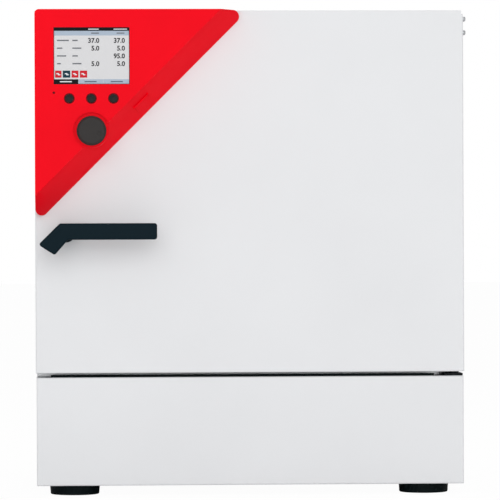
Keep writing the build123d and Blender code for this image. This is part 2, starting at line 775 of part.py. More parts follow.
clamp_levels = [z_middle + side * (glass_height - clamp_height) / 2 for side in (-1, 1)]
with BuildPart() as glass_hinge_clamps:
    for level in clamp_levels:
        block(x_glass_hinge - clamp_reach, x_glass_hinge - 2, y_glass - clamp_thickness, y_glass,
              level - clamp_height / 2, level + clamp_height / 2)
        with BuildSketch(Plane.XY.offset(level - clamp_height / 2)):
            with Locations((x_glass_hinge, y_glass_hinge)):
                Circle(glass_barrel_radius)
        extrude(amount=clamp_height)
        with BuildSketch(Plane.XY.offset(level - clamp_height / 2)):
            with Locations((x_glass_hinge, y_glass_hinge)):
                Circle(clamp_pin_radius + hinge_running)
        extrude(amount=clamp_height, mode=Mode.SUBTRACT)
finish(glass_hinge_clamps, "glass_hinge_clamps")

with BuildPart() as glass_hinge_posts:
    for side in (-1, 1):
        z_post = z_middle + side * recess_height / 2
        z_clamp_end = z_middle + side * glass_height / 2
        z_post_end = z_clamp_end + side * fit
        block(x_glass_hinge - 6, x_glass_hinge + 5, y_glass_hinge - 5, y_glass_back,
              min(z_post, z_post_end), max(z_post, z_post_end))
        z_pin_end = z_clamp_end - side * (clamp_height - 4)
        with BuildSketch(Plane.XY.offset(min(z_post_end, z_pin_end))):
            with Locations((x_glass_hinge, y_glass_hinge)):
                Circle(clamp_pin_radius)
        extrude(amount=abs(z_post_end - z_pin_end))
finish(glass_hinge_posts, "glass_hinge_posts")

with BuildPart() as glass_door_knob:
    with BuildSketch(Plane.XY.offset(z_middle)):
        with BuildLine():
            Polyline(
                (x_glass_knob, y_glass_back), (x_glass_knob + knob_hole_radius, y_glass_back),
                (x_glass_knob + knob_hole_radius, y_glass), (x_glass_knob + 9, y_glass),
                (x_glass_knob + 9, y_glass - 2), (x_glass_knob + 6, y_glass - 6),
                (x_glass_knob + 11, y_glass - glass_knob_reach + 3),
                (x_glass_knob + 9, y_glass - glass_knob_reach), (x_glass_knob, y_glass - glass_knob_reach),
                close=True)
        make_face()
    revolve(axis=Axis((x_glass_knob, 0, z_middle), (0, 1, 0)))
finish(glass_door_knob, "glass_door_knob")

# Outer door: the hinge pockets, shared by its skin, liner and foam
door_half = width / 2
x_notch = x_hinge - hinge_arm_nose - 3
y_notch = y_door + 8
leg_drop = 34
leg_depth = 16
bush_radius = 6
lower_pocket_half = 12
screw_y = y_notch + leg_depth / 2
screw_levels = (z_notch - 6.5, z_notch - 25)
screw_radius = 2
screw_head_radius = 3.5
screw_head = 4.8
screw_length = 14
with BuildPart() as hinge_pockets:
    block(x_notch, door_half + 1, y_notch, y_door_back + 1, z_notch - hinge_plate, z_top + 1)
    block(door_half - hinge_plate, door_half + 1, y_notch, y_notch + leg_depth, z_notch - leg_drop, z_notch)
    block(x_hinge - lower_pocket_half, door_half + 1, y_hinge - lower_pocket_half,
          y_hinge + lower_pocket_half, z_door - 1, z_door + hinge_plate)
    for z_bush in (z_notch - pin_engagement, z_door):
        with BuildSketch(Plane.XY.offset(z_bush)):
            with Locations((x_hinge, y_hinge)):
                Circle(bush_radius)
        extrude(amount=pin_engagement)
    with BuildSketch(Plane.YZ.offset(door_half - screw_length)):
        with Locations(*[(screw_y, level) for level in screw_levels]):
            Circle(screw_radius)
    extrude(amount=screw_length)

with BuildPart() as spindle_bore:
    with BuildSketch(rear_plane(y_door - 1)):
        with Locations((-lever_x, lever_z)):
            Circle(spindle_radius + fit)
    extrude(amount=door_thickness + 6)

cable_hole_x = -door_half + 76
cable_hole_z = z_top - 100
with BuildPart() as door_skin:
    block(-door_half, door_half, y_door, y_door_back, z_door, z_top)
    fillet(door_skin.faces().sort_by(Axis.Y)[0].edges(), panel_radius)
    offset(amount=-sheet, openings=door_skin.faces().sort_by(Axis.Y)[-1])
    block(door_half - 2.5, door_half + 1, y_door - 1, y_notch, z_top - 6, z_top + 1, mode=Mode.SUBTRACT)
    block(cable_hole_x - 30, cable_hole_x + 30, y_door - 1, y_door + sheet, cable_hole_z - 15,
          cable_hole_z + 15, mode=Mode.SUBTRACT)
    add(hinge_pockets.part, mode=Mode.SUBTRACT)
    add(spindle_bore.part, mode=Mode.SUBTRACT)
finish(door_skin, "door_skin")

with BuildPart() as door_insulation:
    block(sheet - door_half, door_half - sheet, y_door + sheet, y_door_back - sheet,
          z_door + sheet, z_top - sheet)
    fillet(door_insulation.faces().sort_by(Axis.Y)[0].edges(), panel_radius - sheet)
    block(door_half - 2.5, door_half + 1, y_door - 1, y_notch, z_top - 6, z_top + 1, mode=Mode.SUBTRACT)
    add(hinge_pockets.part, mode=Mode.SUBTRACT)
    add(spindle_bore.part, mode=Mode.SUBTRACT)
finish(door_insulation, "door_insulation")

plateau_half = 206
plateau_rise = 3
with BuildPart() as door_liner:
    block(sheet - door_half, door_half - sheet, y_door_back - sheet, y_door_back,
          z_door + sheet, z_top - sheet)
    with BuildSketch(rear_plane(y_door_back)):
        with Locations((0, z_middle)):
            RectangleRounded(2 * plateau_half, 2 * plateau_half, 20)
    extrude(amount=plateau_rise)
    fillet(door_liner.faces().sort_by(Axis.Y)[-1].edges(), 2)
    add(hinge_pockets.part, mode=Mode.SUBTRACT)
    add(spindle_bore.part, mode=Mode.SUBTRACT)
finish(door_liner, "door_liner")

# Door gasket: a ring on the liner that meets the front frame
seal_outer_x = recess_width / 2 + 12
seal_outer_z = recess_height / 2 + 12
seal_width = 9.5
with BuildPart() as door_gasket:
    with BuildSketch(rear_plane(y_door_back)):
        with Locations((0, z_middle)):
            RectangleRounded(2 * seal_outer_x, 2 * seal_outer_z, 26)
            RectangleRounded(2 * (seal_outer_x - seal_width), 2 * (seal_outer_z - seal_width), 17,
                             mode=Mode.SUBTRACT)
    extrude(amount=seal_gap - fit)
    fillet(door_gasket.faces().sort_by(Axis.Y)[-1].edges(), 1.5)
finish(door_gasket, "door_gasket")

# Door halves of the hinges, with their bushes, and the screws that hold the upper one
with BuildPart() as door_hinge_upper:
    block(x_notch, door_half, y_notch, y_door_back, z_notch - hinge_plate, z_notch)
    block(door_half - hinge_plate, door_half, y_notch, y_notch + leg_depth, z_notch - leg_drop, z_notch)
    with BuildSketch(Plane.XY.offset(z_notch - pin_engagement)):
        with Locations((x_hinge, y_hinge)):
            Circle(bush_radius)
    extrude(amount=pin_engagement)
    with BuildSketch(Plane.XY.offset(z_notch - pin_engagement)):
        with Locations((x_hinge, y_hinge)):
            Circle(hinge_pin_radius + hinge_running)
    extrude(amount=pin_engagement, mode=Mode.SUBTRACT)
    with BuildSketch(Plane.YZ.offset(door_half - hinge_plate)):
        with Locations(*[(screw_y, level) for level in screw_levels]):
            Circle(screw_radius)
    extrude(amount=hinge_plate, mode=Mode.SUBTRACT)
finish(door_hinge_upper, "door_hinge_upper")

with BuildPart() as door_hinge_lower:
    block(x_hinge - lower_pocket_half, door_half - sheet, y_hinge - lower_pocket_half,
          y_hinge + lower_pocket_half, z_door, z_door + hinge_plate)
    with BuildSketch(Plane.XY.offset(z_door)):
        with Locations((x_hinge, y_hinge)):
            Circle(bush_radius)
    extrude(amount=pin_engagement)
    with BuildSketch(Plane.XY.offset(z_door)):
        with Locations((x_hinge, y_hinge)):
            Circle(hinge_pin_radius + hinge_running)
    extrude(amount=pin_engagement, mode=Mode.SUBTRACT)
finish(door_hinge_lower, "door_hinge_lower")

with BuildPart() as door_hinge_screws:
    with BuildSketch(Plane.YZ.offset(door_half - screw_length)):
        with Locations(*[(screw_y, level) for level in screw_levels]):
            Circle(screw_radius)
    extrude(amount=screw_length)
    with BuildSketch(Plane.YZ.offset(door_half)):
        with Locations(*[(screw_y, level) for level in screw_levels]):
            Circle(screw_head_radius)
    extrude(amount=screw_head)
    fillet(door_hinge_screws.edges().group_by(Axis.X)[-1], 2)
    with BuildSketch(Plane.YZ.offset(door_half + screw_head)):
        with Locations(*[(screw_y, level) for level in screw_levels]):
            RegularPolygon(1.2, 6)
    extrude(amount=-2, mode=Mode.SUBTRACT)
finish(door_hinge_screws, "door_hinge_screws")

# Control housing: a hollow triangle on the door's upper left corner, with a
# wide bevel along its long side
housing_inset = 0.5
housing_drop = 1.2
housing_leg = 287
housing_depth = 46
housing_wall = 2.5
tip_radius = 8.3
corner_radius = 6
bevel_width = 26.7
bevel_lip = 1.5
x_housing = housing_inset - door_half
z_housing = z_top - housing_drop
y_face = y_door - housing_depth

# Places on the face, measured from the housing's upper left corner
display_x = x_housing + 76.2
display_z = z_housing - 62.5
display_width = 101.6
display_height = 76.2
display_sunk = 1
button_z = z_housing - 119.6
button_x = x_housing + 75.7
button_pitch = 29.5
button_radius = 5.8
button_gap = 0.3
button_proud = 1.5
button_travel = 1.2
knob_x = button_x
knob_z = z_housing - 162.6
knob_radius = 18.2
knob_skirt_radius = 19.8
knob_proud = 7.5
dish_radius = 24.6
dish_depth = 3
boss_radius = 22.5
collar_depth = 28
usb_x = x_housing + 144.5
usb_z = z_housing - 124.8
usb_along = 23
usb_across = 16
usb_thickness = 2
usb_pin_radius = 0.7

def triangle_outline(plane):
    """The housing's rounded triangle on a plane that looks from the front."""
    corner = (x_housing, z_housing)
    with BuildSketch(plane) as outline:
        with BuildLine():
            Polyline(corner, (x_housing + housing_leg, z_housing),
                     (x_housing, z_housing - housing_leg), close=True)
        make_face()
        points = outline.vertices().sort_by_distance((x_housing, z_housing, 0))
        fillet(points[1:], tip_radius)
        fillet(outline.vertices().sort_by_distance((x_housing, z_housing, 0))[0], corner_radius)
    return outline.sketch


# The bevel is cut by a wedge, drawn across the middle of the long side
diagonal_middle = (x_housing + housing_leg / 2, y_door, z_housing - housing_leg / 2)
across_diagonal = Plane(origin=diagonal_middle, x_dir=(1, 0, -1), z_dir=(1, 0, 1))
bevel_drop = housing_depth - bevel_lip
with BuildPart() as bevel_wedge:
    with BuildSketch(across_diagonal):
        with BuildLine():
            Polyline((0, -bevel_lip), (-bevel_width, -housing_depth), (-bevel_width, -housing_depth - 9),
                     (9, -housing_depth - 9), (9, -bevel_lip), close=True)
        make_face()
    extrude(amount=housing_leg, both=True)

with BuildPart() as housing_block:
    extrude(triangle_outline(front_plane(y_door)), amount=housing_depth)
    add(bevel_wedge.part, mode=Mode.SUBTRACT)

# A plane on the bevel, with X along the long side and Y towards the face
bevel_across = (usb_x - x_housing) + (z_housing - usb_z)
bevel_inward = (housing_leg - bevel_across) / 2 ** 0.5
usb_front = bevel_lip + bevel_drop * bevel_inward / bevel_width
bevel_plane = Plane(origin=(usb_x, y_door - usb_front, usb_z), x_dir=(1, 0, 1),
                    z_dir=(bevel_drop / 2 ** 0.5, -bevel_width, -bevel_drop / 2 ** 0.5))
usb_axis_height = usb_thickness / 2 + 0.2
usb_axis_plane = Plane(origin=bevel_plane.origin, x_dir=bevel_plane.z_dir, z_dir=bevel_plane.x_dir)
ear_length = 2

with BuildPart() as control_housing:
    add(housing_block.part)
    offset(amount=-housing_wall, openings=control_housing.faces().sort_by(Axis.Y)[-1])
    # Floor of the knob's dish inside, and a collar that shows on the bevel
    with BuildSketch(front_plane(y_face + dish_depth + housing_wall)):
        with Locations((knob_x, knob_z)):
            Circle(dish_radius + 1.5)
    extrude(amount=dish_depth + housing_wall)
    add(bevel_wedge.part, mode=Mode.SUBTRACT)
    with BuildSketch(front_plane(y_face + dish_depth + collar_depth)):
        with Locations((knob_x, knob_z)):
            Circle(boss_radius)
            Circle(boss_radius - housing_wall, mode=Mode.SUBTRACT)
    extrude(amount=collar_depth)
    with BuildSketch(rear_plane(y_face + dish_depth + housing_wall)):
        with Locations((-knob_x, knob_z)):
            Circle(boss_radius - housing_wall)
    extrude(amount=collar_depth, mode=Mode.SUBTRACT)
    with BuildSketch(front_plane(y_face + dish_depth + housing_wall)):
        with Locations((knob_x, knob_z)):
            Circle(boss_radius)
    extrude(amount=housing_wall)
    with BuildSketch(rear_plane(y_face - 1)):
        with Locations((-knob_x, knob_z)):
            Circle(dish_radius)
    extrude(amount=dish_depth + 1, mode=Mode.SUBTRACT)
    # Openings for the display, the buttons and the encoder's bush
    with BuildSketch(rear_plane(y_face - 1)):
        with Locations((-display_x, display_z)):
            Rectangle(display_width, display_height)
        with Locations((-button_x, button_z)):
            with GridLocations(button_pitch, 1, 3, 1):
                Circle(button_radius + button_gap)
    extrude(amount=housing_wall + 1.5, mode=Mode.SUBTRACT)
    with BuildSketch(rear_plane(y_face)):
        with Locations((-knob_x, knob_z)):
            Circle(4.5)
    extrude(amount=dish_depth + housing_wall + 1, mode=Mode.SUBTRACT)
    # Socket opening and cover ears on the bevel
    with BuildSketch(bevel_plane):
        Rectangle(13, 6)
    extrude(amount=-8, mode=Mode.SUBTRACT)
    with BuildSketch(bevel_plane):
        with Locations((0, usb_across / 2)):
            with GridLocations(usb_along + ear_length + 2 * fit, 1, 2, 1):
                Rectangle(ear_length, 3)
    extrude(amount=2 * usb_axis_height)
    with BuildSketch(usb_axis_plane.offset(-usb_along)):
        with Locations((usb_axis_height, -usb_across / 2)):
            Circle(usb_pin_radius + hinge_running)
    extrude(amount=2 * usb_along, mode=Mode.SUBTRACT)
finish(control_housing, "control_housing")

# Display: a pane in the opening and the module behind the wall
with BuildPart() as display_glass:
    with BuildSketch(rear_plane(y_face + display_sunk)):
        with Locations((-display_x, display_z)):
            Rectangle(display_width - 2 * fit, display_height - 2 * fit)
    extrude(amount=housing_wall - display_sunk)
finish(display_glass, "display_glass")

module_border = 4
module_depth = 14
with BuildPart() as display_module:
    with BuildSketch(rear_plane(y_face + housing_wall)):
        with Locations((-display_x, display_z)):
            Rectangle(display_width + 2 * module_border, display_height + 2 * module_border)
    extrude(amount=module_depth)
    chamfer(display_module.faces().sort_by(Axis.Y)[-1].edges(), 2)
finish(display_module, "display_module")

# Button board: carries the three switches and the encoder behind the wall
board_thickness = 1.6
button_flange = 1.5
y_board = y_face + housing_wall + fit + button_flange + button_travel + 6
with BuildPart() as button_board:
    with BuildSketch(rear_plane(y_board)):
        with Locations((-button_x, button_z)):
            RectangleRounded(2 * button_pitch + 18, 16, 2)
    extrude(amount=board_thickness)
    with BuildSketch(front_plane(y_board)):
        with Locations((button_x, button_z)):
            with GridLocations(button_pitch, 1, 3, 1):
                Rectangle(6, 6)
    extrude(amount=y_board - y_face - housing_wall - button_flange - button_travel - 2 * fit)
    with BuildSketch(front_plane(y_board)):
        with Locations((button_x, button_z)):
            with GridLocations(button_pitch, 1, 2, 1):
                Circle(2.5)
    extrude(amount=y_board - y_face - housing_wall)
finish(button_board, "button_board")

for number, column in enumerate((-1, 0, 1), start=1):
    with BuildPart() as button:
        with BuildSketch(rear_plane(y_face - button_proud)):
            with Locations((-button_x - column * button_pitch, button_z)):
                Circle(button_radius)
        extrude(amount=button_proud + housing_wall + fit)
        with BuildSketch(rear_plane(y_face + housing_wall + fit)):
            with Locations((-button_x - column * button_pitch, button_z)):
                Circle(button_radius + 1.6)
        extrude(amount=button_flange)
        fillet(button.edges().sort_by(Axis.Y)[0], 0.8)
        # A dished centre for the fingertip
        with Locations((button_x + column * button_pitch, y_face - button_proud - 14.4, button_z)):
            Sphere(15, mode=Mode.SUBTRACT)
    finish(button, "button_" + str(number))

# Rotary encoder behind the dish, and the control knob on its shaft
encoder_shaft_radius = 3
encoder_depth = 12
y_dish = y_face + dish_depth
with BuildPart() as encoder:
    with BuildSketch(rear_plane(y_dish + housing_wall)):
        with Locations((-knob_x, knob_z)):
            Rectangle(20, 20)
    extrude(amount=encoder_depth)
    with BuildSketch(front_plane(y_dish + housing_wall)):
        with Locations((knob_x, knob_z)):
            Circle(4.5)
    extrude(amount=housing_wall + 2)
    with BuildSketch(rear_plane(y_dish - 3)):
        with Locations((-knob_x, knob_z)):
            Circle(encoder_shaft_radius + hinge_running)
    extrude(amount=housing_wall + 3 + encoder_depth - 2, mode=Mode.SUBTRACT)
finish(encoder, "encoder")

knob_skirt = 2.5
y_knob = y_face - knob_proud
y_knob_back = y_dish - 0.6
with BuildPart() as control_knob:
    with BuildSketch(Plane.XY.offset(knob_z)):
        with BuildLine():
            Polyline(
                (knob_x, y_knob), (knob_x + knob_radius - 1.5, y_knob),
                (knob_x + knob_radius, y_knob + 1.5), (knob_x + knob_radius, y_knob_back - knob_skirt),
                (knob_x + knob_skirt_radius, y_knob_back - knob_skirt + 1),
                (knob_x + knob_skirt_radius, y_knob_back), (knob_x + 6, y_knob_back),
                (knob_x + 6, y_knob_back - 3), (knob_x + encoder_shaft_radius, y_knob_back - 3),
                (knob_x + encoder_shaft_radius, y_dish + housing_wall + 8),
                (knob_x, y_dish + housing_wall + 8), close=True)
        make_face()
    revolve(axis=Axis((knob_x, 0, knob_z), (0, 1, 0)))
    # Shallow finger dimple near the rim
    with Locations((knob_x + 11, y_knob - 9, knob_z - 4)):
        Sphere(9.8, mode=Mode.SUBTRACT)
finish(control_knob, "control_knob")

# Cover of the service socket, hinged along its edge nearer to the face
with BuildPart() as usb_cover:
    with BuildSketch(bevel_plane.offset(0.2)):
        with Locations((0, 0)):
            RectangleRounded(usb_along, usb_across, 1.5)
    extrude(amount=usb_thickness)
    with BuildSketch(usb_axis_plane.offset(-usb_along / 2)):
        with Locations((usb_axis_height, -usb_across / 2)):
            Circle(usb_thickness / 2)
    extrude(amount=usb_along)
    with BuildSketch(usb_axis_plane.offset(-usb_along / 2 - ear_length)):
        with Locations((usb_axis_height, -usb_across / 2)):
            Circle(usb_pin_radius)
    extrude(amount=usb_along + 2 * ear_length)
finish(usb_cover, "usb_cover")

with BuildPart() as usb_socket:
    with BuildSketch(bevel_plane):
        Rectangle(13 - 2 * fit, 6 - 2 * fit)
        Rectangle(12, 4.5, mode=Mode.SUBTRACT)
    extrude(amount=-13)
    with BuildSketch(bevel_plane.offset(-12)):
        Rectangle(13 - 2 * fit, 6 - 2 * fit)
    extrude(amount=-3)
    with BuildSketch(bevel_plane.offset(-2)):
        with Locations((0, 1)):
            Rectangle(11, 1.6)
    extrude(amount=-11)
finish(usb_socket, "usb_socket")

# Handle: a bent lever on a hub, turning on a rosette, with a tongue behind the door
lever_thickness = 18
bar_end = 121.8
bar_top = 13
bar_bottom = -9
bend_top_x = -8
bend_bottom_x = 2.7
tip_upper = (-37, -15.4)
tip_lower = (-15, -29.4)
bar_corner = 3.5
bar_edge = 2.5
lever_socket = 8
hub_radius = 12
rosette_radius = 16
rosette_thickness = 4
with BuildPart() as handle_lever:
    with BuildSketch(front_plane(y_door - handle_reach + lever_thickness)):
        with BuildLine():
            Polyline(
                (lever_x + bend_top_x, lever_z + bar_top), (lever_x + bar_end, lever_z + bar_top),
                (lever_x + bar_end, lever_z + bar_bottom), (lever_x + bend_bottom_x, lever_z + bar_bottom),
                (lever_x + tip_lower[0], lever_z + tip_lower[1]),
                (lever_x + tip_upper[0], lever_z + tip_upper[1]), close=True)
        lever_face = make_face()
        fillet(lever_face.vertices(), bar_corner)
    extrude(amount=lever_thickness)
    fillet(handle_lever.faces().sort_by(Axis.Y)[0].edges(), bar_edge)
    with BuildSketch(rear_plane(y_door - handle_reach + lever_thickness)):
        with Locations((-lever_x, lever_z)):
            Circle(hub_radius)
    extrude(amount=handle_reach - lever_thickness - rosette_thickness - fit)
    with BuildSketch(rear_plane(y_door - handle_reach + lever_socket)):
        with Locations((-lever_x, lever_z)):
            Circle(spindle_radius)
    extrude(amount=handle_reach, mode=Mode.SUBTRACT)
finish(handle_lever, "handle_lever")

with BuildPart() as handle_rosette:
    with BuildSketch(front_plane(y_door)):
        with Locations((lever_x, lever_z)):
            Circle(rosette_radius)
            Circle(spindle_radius + hinge_running, mode=Mode.SUBTRACT)
    extrude(amount=rosette_thickness)
    fillet(handle_rosette.faces().sort_by(Axis.Y)[0].outer_wire().edges(), 2)
finish(handle_rosette, "handle_rosette")

with BuildPart() as latch_spindle:
    with BuildSketch(rear_plane(y_door - handle_reach + lever_socket)):
        with Locations((-lever_x, lever_z)):
            Circle(spindle_radius)
    extrude(amount=y_tongue + tongue_thickness - y_door + handle_reach - lever_socket)
    with BuildSketch(rear_plane(y_tongue)):
        with Locations((-lever_x, lever_z)):
            Circle(spindle_radius)
        with Locations((-lever_x + tongue_length / 2, lever_z)):
            SlotOverall(tongue_length, tongue_height)
    extrude(amount=tongue_thickness)
finish(latch_spindle, "latch_spindle")
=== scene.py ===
import math

import bmesh
import bpy
from bpy.props import (
    FloatProperty,
    FloatVectorProperty,
    PointerProperty,
)
from mathutils import Matrix, Vector


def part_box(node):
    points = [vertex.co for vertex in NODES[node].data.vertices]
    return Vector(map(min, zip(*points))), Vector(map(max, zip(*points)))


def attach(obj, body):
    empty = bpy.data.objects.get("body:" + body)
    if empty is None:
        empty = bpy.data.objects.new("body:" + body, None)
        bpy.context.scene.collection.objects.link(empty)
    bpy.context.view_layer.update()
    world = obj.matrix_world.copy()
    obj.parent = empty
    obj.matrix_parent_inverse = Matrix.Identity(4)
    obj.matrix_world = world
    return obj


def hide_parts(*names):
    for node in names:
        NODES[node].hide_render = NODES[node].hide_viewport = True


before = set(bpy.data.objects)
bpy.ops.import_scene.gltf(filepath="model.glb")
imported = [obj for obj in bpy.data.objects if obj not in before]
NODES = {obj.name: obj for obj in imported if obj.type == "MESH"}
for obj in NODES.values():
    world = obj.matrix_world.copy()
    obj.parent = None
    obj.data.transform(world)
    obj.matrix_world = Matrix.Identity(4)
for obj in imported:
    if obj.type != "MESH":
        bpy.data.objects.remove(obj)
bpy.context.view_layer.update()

bl_info = {
    "name": "Bench Incubator Finishes",
    "version": (1, 0, 0),
    "blender": (4, 5, 0),
    "location": "3D View > Sidebar > Incubator",
    "description": "Finishes, screen picture and small trim of a bench carbon dioxide incubator",
    "category": "Object",
}

MM = 0.001

# Faces and centres that the small pieces sit on, from the CAD nodes
HOUSING_LOW, HOUSING_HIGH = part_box("control_housing")
GLASS_LOW, GLASS_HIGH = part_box("display_glass")
REAR_LOW, REAR_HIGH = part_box("rear_panel")
BUTTON_LOW, BUTTON_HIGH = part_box("button_2")
BUTTON_X = (BUTTON_LOW[0] + BUTTON_HIGH[0]) / 2
BUTTON_Z = (BUTTON_LOW[2] + BUTTON_HIGH[2]) / 2
BUTTON_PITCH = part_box("button_3")[0][0] - BUTTON_LOW[0]
ROSETTE_LOW, ROSETTE_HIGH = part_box("handle_rosette")
LEVER_X = (ROSETTE_LOW[0] + ROSETTE_HIGH[0]) / 2
LEVER_Z = (ROSETTE_LOW[2] + ROSETTE_HIGH[2]) / 2
DOOR_FACE = ROSETTE_HIGH[1]
DOOR_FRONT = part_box("door_skin")[0][1]
FRONTWARD = (0, -1, 0)
REARWARD = (0, 1, 0)

# Colours that more than one material shares
ZINC = (0.50, 0.51, 0.53)
BLACK_ZINC = (0.02, 0.022, 0.024)
BARE_STEEL = (0.58, 0.59, 0.60)
FLEECE = (0.72, 0.68, 0.52)

# Stretches of the object coordinates, and the texture scale of plated parts
EVEN = (1, 1, 1)
ACROSS_BRUSH = 40
PLATED_SCALE = 300

# The middle of a noise texture's range, where most of its values lie
NOISE_LOW = 0.3
NOISE_HIGH = 0.7

# Specular levels, low so that dark and red surfaces don't go pale under the large light
RED_GLOSS = 0.04
HANDLE_GLOSS = 0.06
SCREEN_GLOSS = 0.06
RUBBER_GLOSS = 0.08
SOFT_PLASTIC_GLOSS = 0.15

# The display's picture in millimetres, across from the pane's left edge and down from its top.
# A pair holds the two ends of a bar.
PICTURE_WIDTH = (GLASS_HIGH[0] - GLASS_LOW[0]) / MM
PICTURE_HEIGHT = (GLASS_HIGH[2] - GLASS_LOW[2]) / MM
BORDER = 0.6
STATUS_BAR = (0.0, 4.5)
HEADER_BAR = (4.5, 10.7)
TAB_BAR = (69.2, PICTURE_HEIGHT)
LOWER_LINE = (PICTURE_HEIGHT - 0.4, PICTURE_HEIGHT)
CHOSEN_TAB = (0.0, 32.6)
OTHER_TABS = ((32.9, 65.8), (66.2, PICTURE_WIDTH))
ICON_BAR = (57.6, 67.0)
RED_ICONS = ((1.7, 10.2), (23.7, 32.8), (34.8, 44.5))
TEAL_ICON = (12.0, 21.9)

# The rows of values: the numbers and where they end, and the bars for their names and units
VALUE_ROWS = (("37.0", "37.0"), ("5.0", "5.0"), ("", "95.0"), ("5.0", "5.0"))
VALUE_ENDS = (60.8, 95.1)
FIRST_ROW = 17.3
LABEL_HALF_HEIGHT = 0.8
NAME_START = 4.3
NAME_ENDS = (20.2, 11.5, 16.4, 9.4)
UNIT_START = 24.9
UNIT_ENDS = (32.0, 36.8, 32.0, 36.8)

# The font's numerals: their height as a share of its size, and their extra stroke
# width as a share of their height
NUMERAL_SHARE = 0.7
STROKE_SHARE = 0.035
CURVE_STEPS = 3

# Plain marks that stand for small lettering and for the signs on the icons
HEADER_MARKS = ((50.0, 60.5), (84.0, 94.5))
HEADER_MARK_BAR = (6.9, 8.3)
STATUS_MARKS = ((46.0, 60.0), (80.0, 98.0))
STATUS_MARK_BAR = (1.7, 2.8)
CHOSEN_TAB_MARK = (8.0, 24.0)
OTHER_TAB_MARKS = ((41.0, 57.0), (76.0, 92.0))
TAB_MARK_BAR = (71.7, 73.1)
ICON_SIGN_STARTS = (3.4, 14.6, 25.6, 36.7)
ICON_SIGN_BARS = (((0.0, 3.4), (61.0, 62.4)), ((2.0, 5.2), (62.4, 63.8)))

# Turned trim as (along, radius) pairs in metres, and where it sits
LAMP_PROFILE = ((0, 0.0016), (0.0004, 0.0016), (0.0006, 0.0011))
LAMP_INSET = 25.6 * MM
LAMP_DOWN = 111.9 * MM
LAMP_SINK = 0.1 * MM
SCREW_PROFILE = ((-0.0004, 0.0036), (0.0008, 0.0036), (0.0018, 0.0026), (0.0021, 0.0012))
SCREW_INSET = 9 * MM
SCREWS_ACROSS = 5
SCREWS_UP = 6
RIM_PROFILE = ((0.0002, 0.0061), (-0.00012, 0.0063), (-0.00012, 0.0071), (0.0002, 0.0074))
FLANGE_PROFILE = ((0, 0.0124), (0.0032, 0.0124), (0.004, 0.0116))

# The studio: each light's name, place, side and share of the light power
SOFT_LIGHTS = (
    ("key_light", (-0.4, -3.8, 1.3), 3.4, 1.45),
    ("fill_light", (2.0, -2.6, 1.4), 2.2, 0.15),
    ("top_light", (0.2, 0.6, 2.8), 2.0, 0.5),
)
LIGHT_AIM = Vector((0, 0, 0.33))
ROOM_STRENGTH = 0.5
FLOOR_HALF = 30
FLOOR_COLOUR = (0.93, 0.93, 0.935, 1)
FLOOR_WHITE_SHARE = 0.97

# The camera: a small turn towards the object, the rest of its aim by lens shift
SENSOR_WIDTH = 36
PICTURE_PIXELS = 500
YAW_SHARE = 0.85
SHIFT_X_TRIM = -0.0004
SHIFT_Y = 0.0016
ROLL = math.radians(-0.22)
FAR_CLIP = 100


class IncubatorFinish(bpy.types.PropertyGroup):
    """Colours and surface sizes of the coated, moulded and bare parts"""

    coat_colour: FloatVectorProperty(
        name="Coat", description="Powder coat of the casing and door",
        subtype="COLOR", size=3, min=0, max=1, default=(0.80, 0.81, 0.825))
    red_colour: FloatVectorProperty(
        name="Housing", description="Moulded control housing",
        subtype="COLOR", size=3, min=0, max=1, default=(0.93, 0.002, 0.012))
    handle_colour: FloatVectorProperty(
        name="Handle", description="Dark moulded handle",
        subtype="COLOR", size=3, min=0, max=1, default=(0.003, 0.012, 0.018))
    knob_colour: FloatVectorProperty(
        name="Knob", description="Soft dark grey of the control knob",
        subtype="COLOR", size=3, min=0, max=1, default=(0.036, 0.033, 0.032))
    coat_grain: FloatProperty(
        name="Coat grain", description="Size of the powder coat's orange peel",
        subtype="DISTANCE", default=0.0012, min=0.0002, max=0.01)
    brush_length: FloatProperty(
        name="Brush length", description="Length of the marks in brushed steel",
        subtype="DISTANCE", default=0.04, min=0.005, max=0.2)


class IncubatorScreen(bpy.types.PropertyGroup):
    """Layout of the picture on the display"""

    digit_height: FloatProperty(
        name="Digits", description="Height of the numbers on the display",
        subtype="DISTANCE", default=0.0062, min=0.002, max=0.02)
    row_pitch: FloatProperty(
        name="Row pitch", description="Distance between two rows of numbers",
        subtype="DISTANCE", default=0.01035, min=0.004, max=0.03)
    print_height: FloatProperty(
        name="Print height", description="How far the picture stands on the pane",
        subtype="DISTANCE", default=0.00012, min=0.00002, max=0.001)


class IncubatorStage(bpy.types.PropertyGroup):
    """Camera and lights of the studio picture"""

    camera_distance: FloatProperty(
        name="Distance", description="From the camera to the door's front",
        subtype="DISTANCE", default=4.6, min=1, max=20)
    camera_x: FloatProperty(
        name="Camera X", description="The camera's place across",
        subtype="DISTANCE", default=-0.22)
    camera_z: FloatProperty(
        name="Camera Z", description="The camera's height",
        subtype="DISTANCE", default=0.33)
    picture_scale: FloatProperty(
        name="Scale", description="Millimetres on the door for one pixel of a 500 pixel picture",
        default=1.3504, min=0.5, max=5)
    light_power: FloatProperty(
        name="Lights", description="Power that each soft light takes its own share of",
        subtype="POWER", default=42, min=0)


def node_tree(material):
    """The material's empty node tree with its output and surface shader."""
    material.use_nodes = True
    tree = material.node_tree
    tree.nodes.clear()
    output = tree.nodes.new("ShaderNodeOutputMaterial")
    shader = tree.nodes.new("ShaderNodeBsdfPrincipled")
    tree.links.new(shader.outputs["BSDF"], output.inputs["Surface"])
    return tree, shader


def object_coordinates(tree, scale):
    """Object coordinates, stretched by a scale for each axis."""
    place = tree.nodes.new("ShaderNodeTexCoord")
    stretch = tree.nodes.new("ShaderNodeVectorMath")
    stretch.operation = "MULTIPLY"
    stretch.inputs[1].default_value = scale
    tree.links.new(place.outputs["Object"], stretch.inputs[0])
    return stretch.outputs["Vector"]


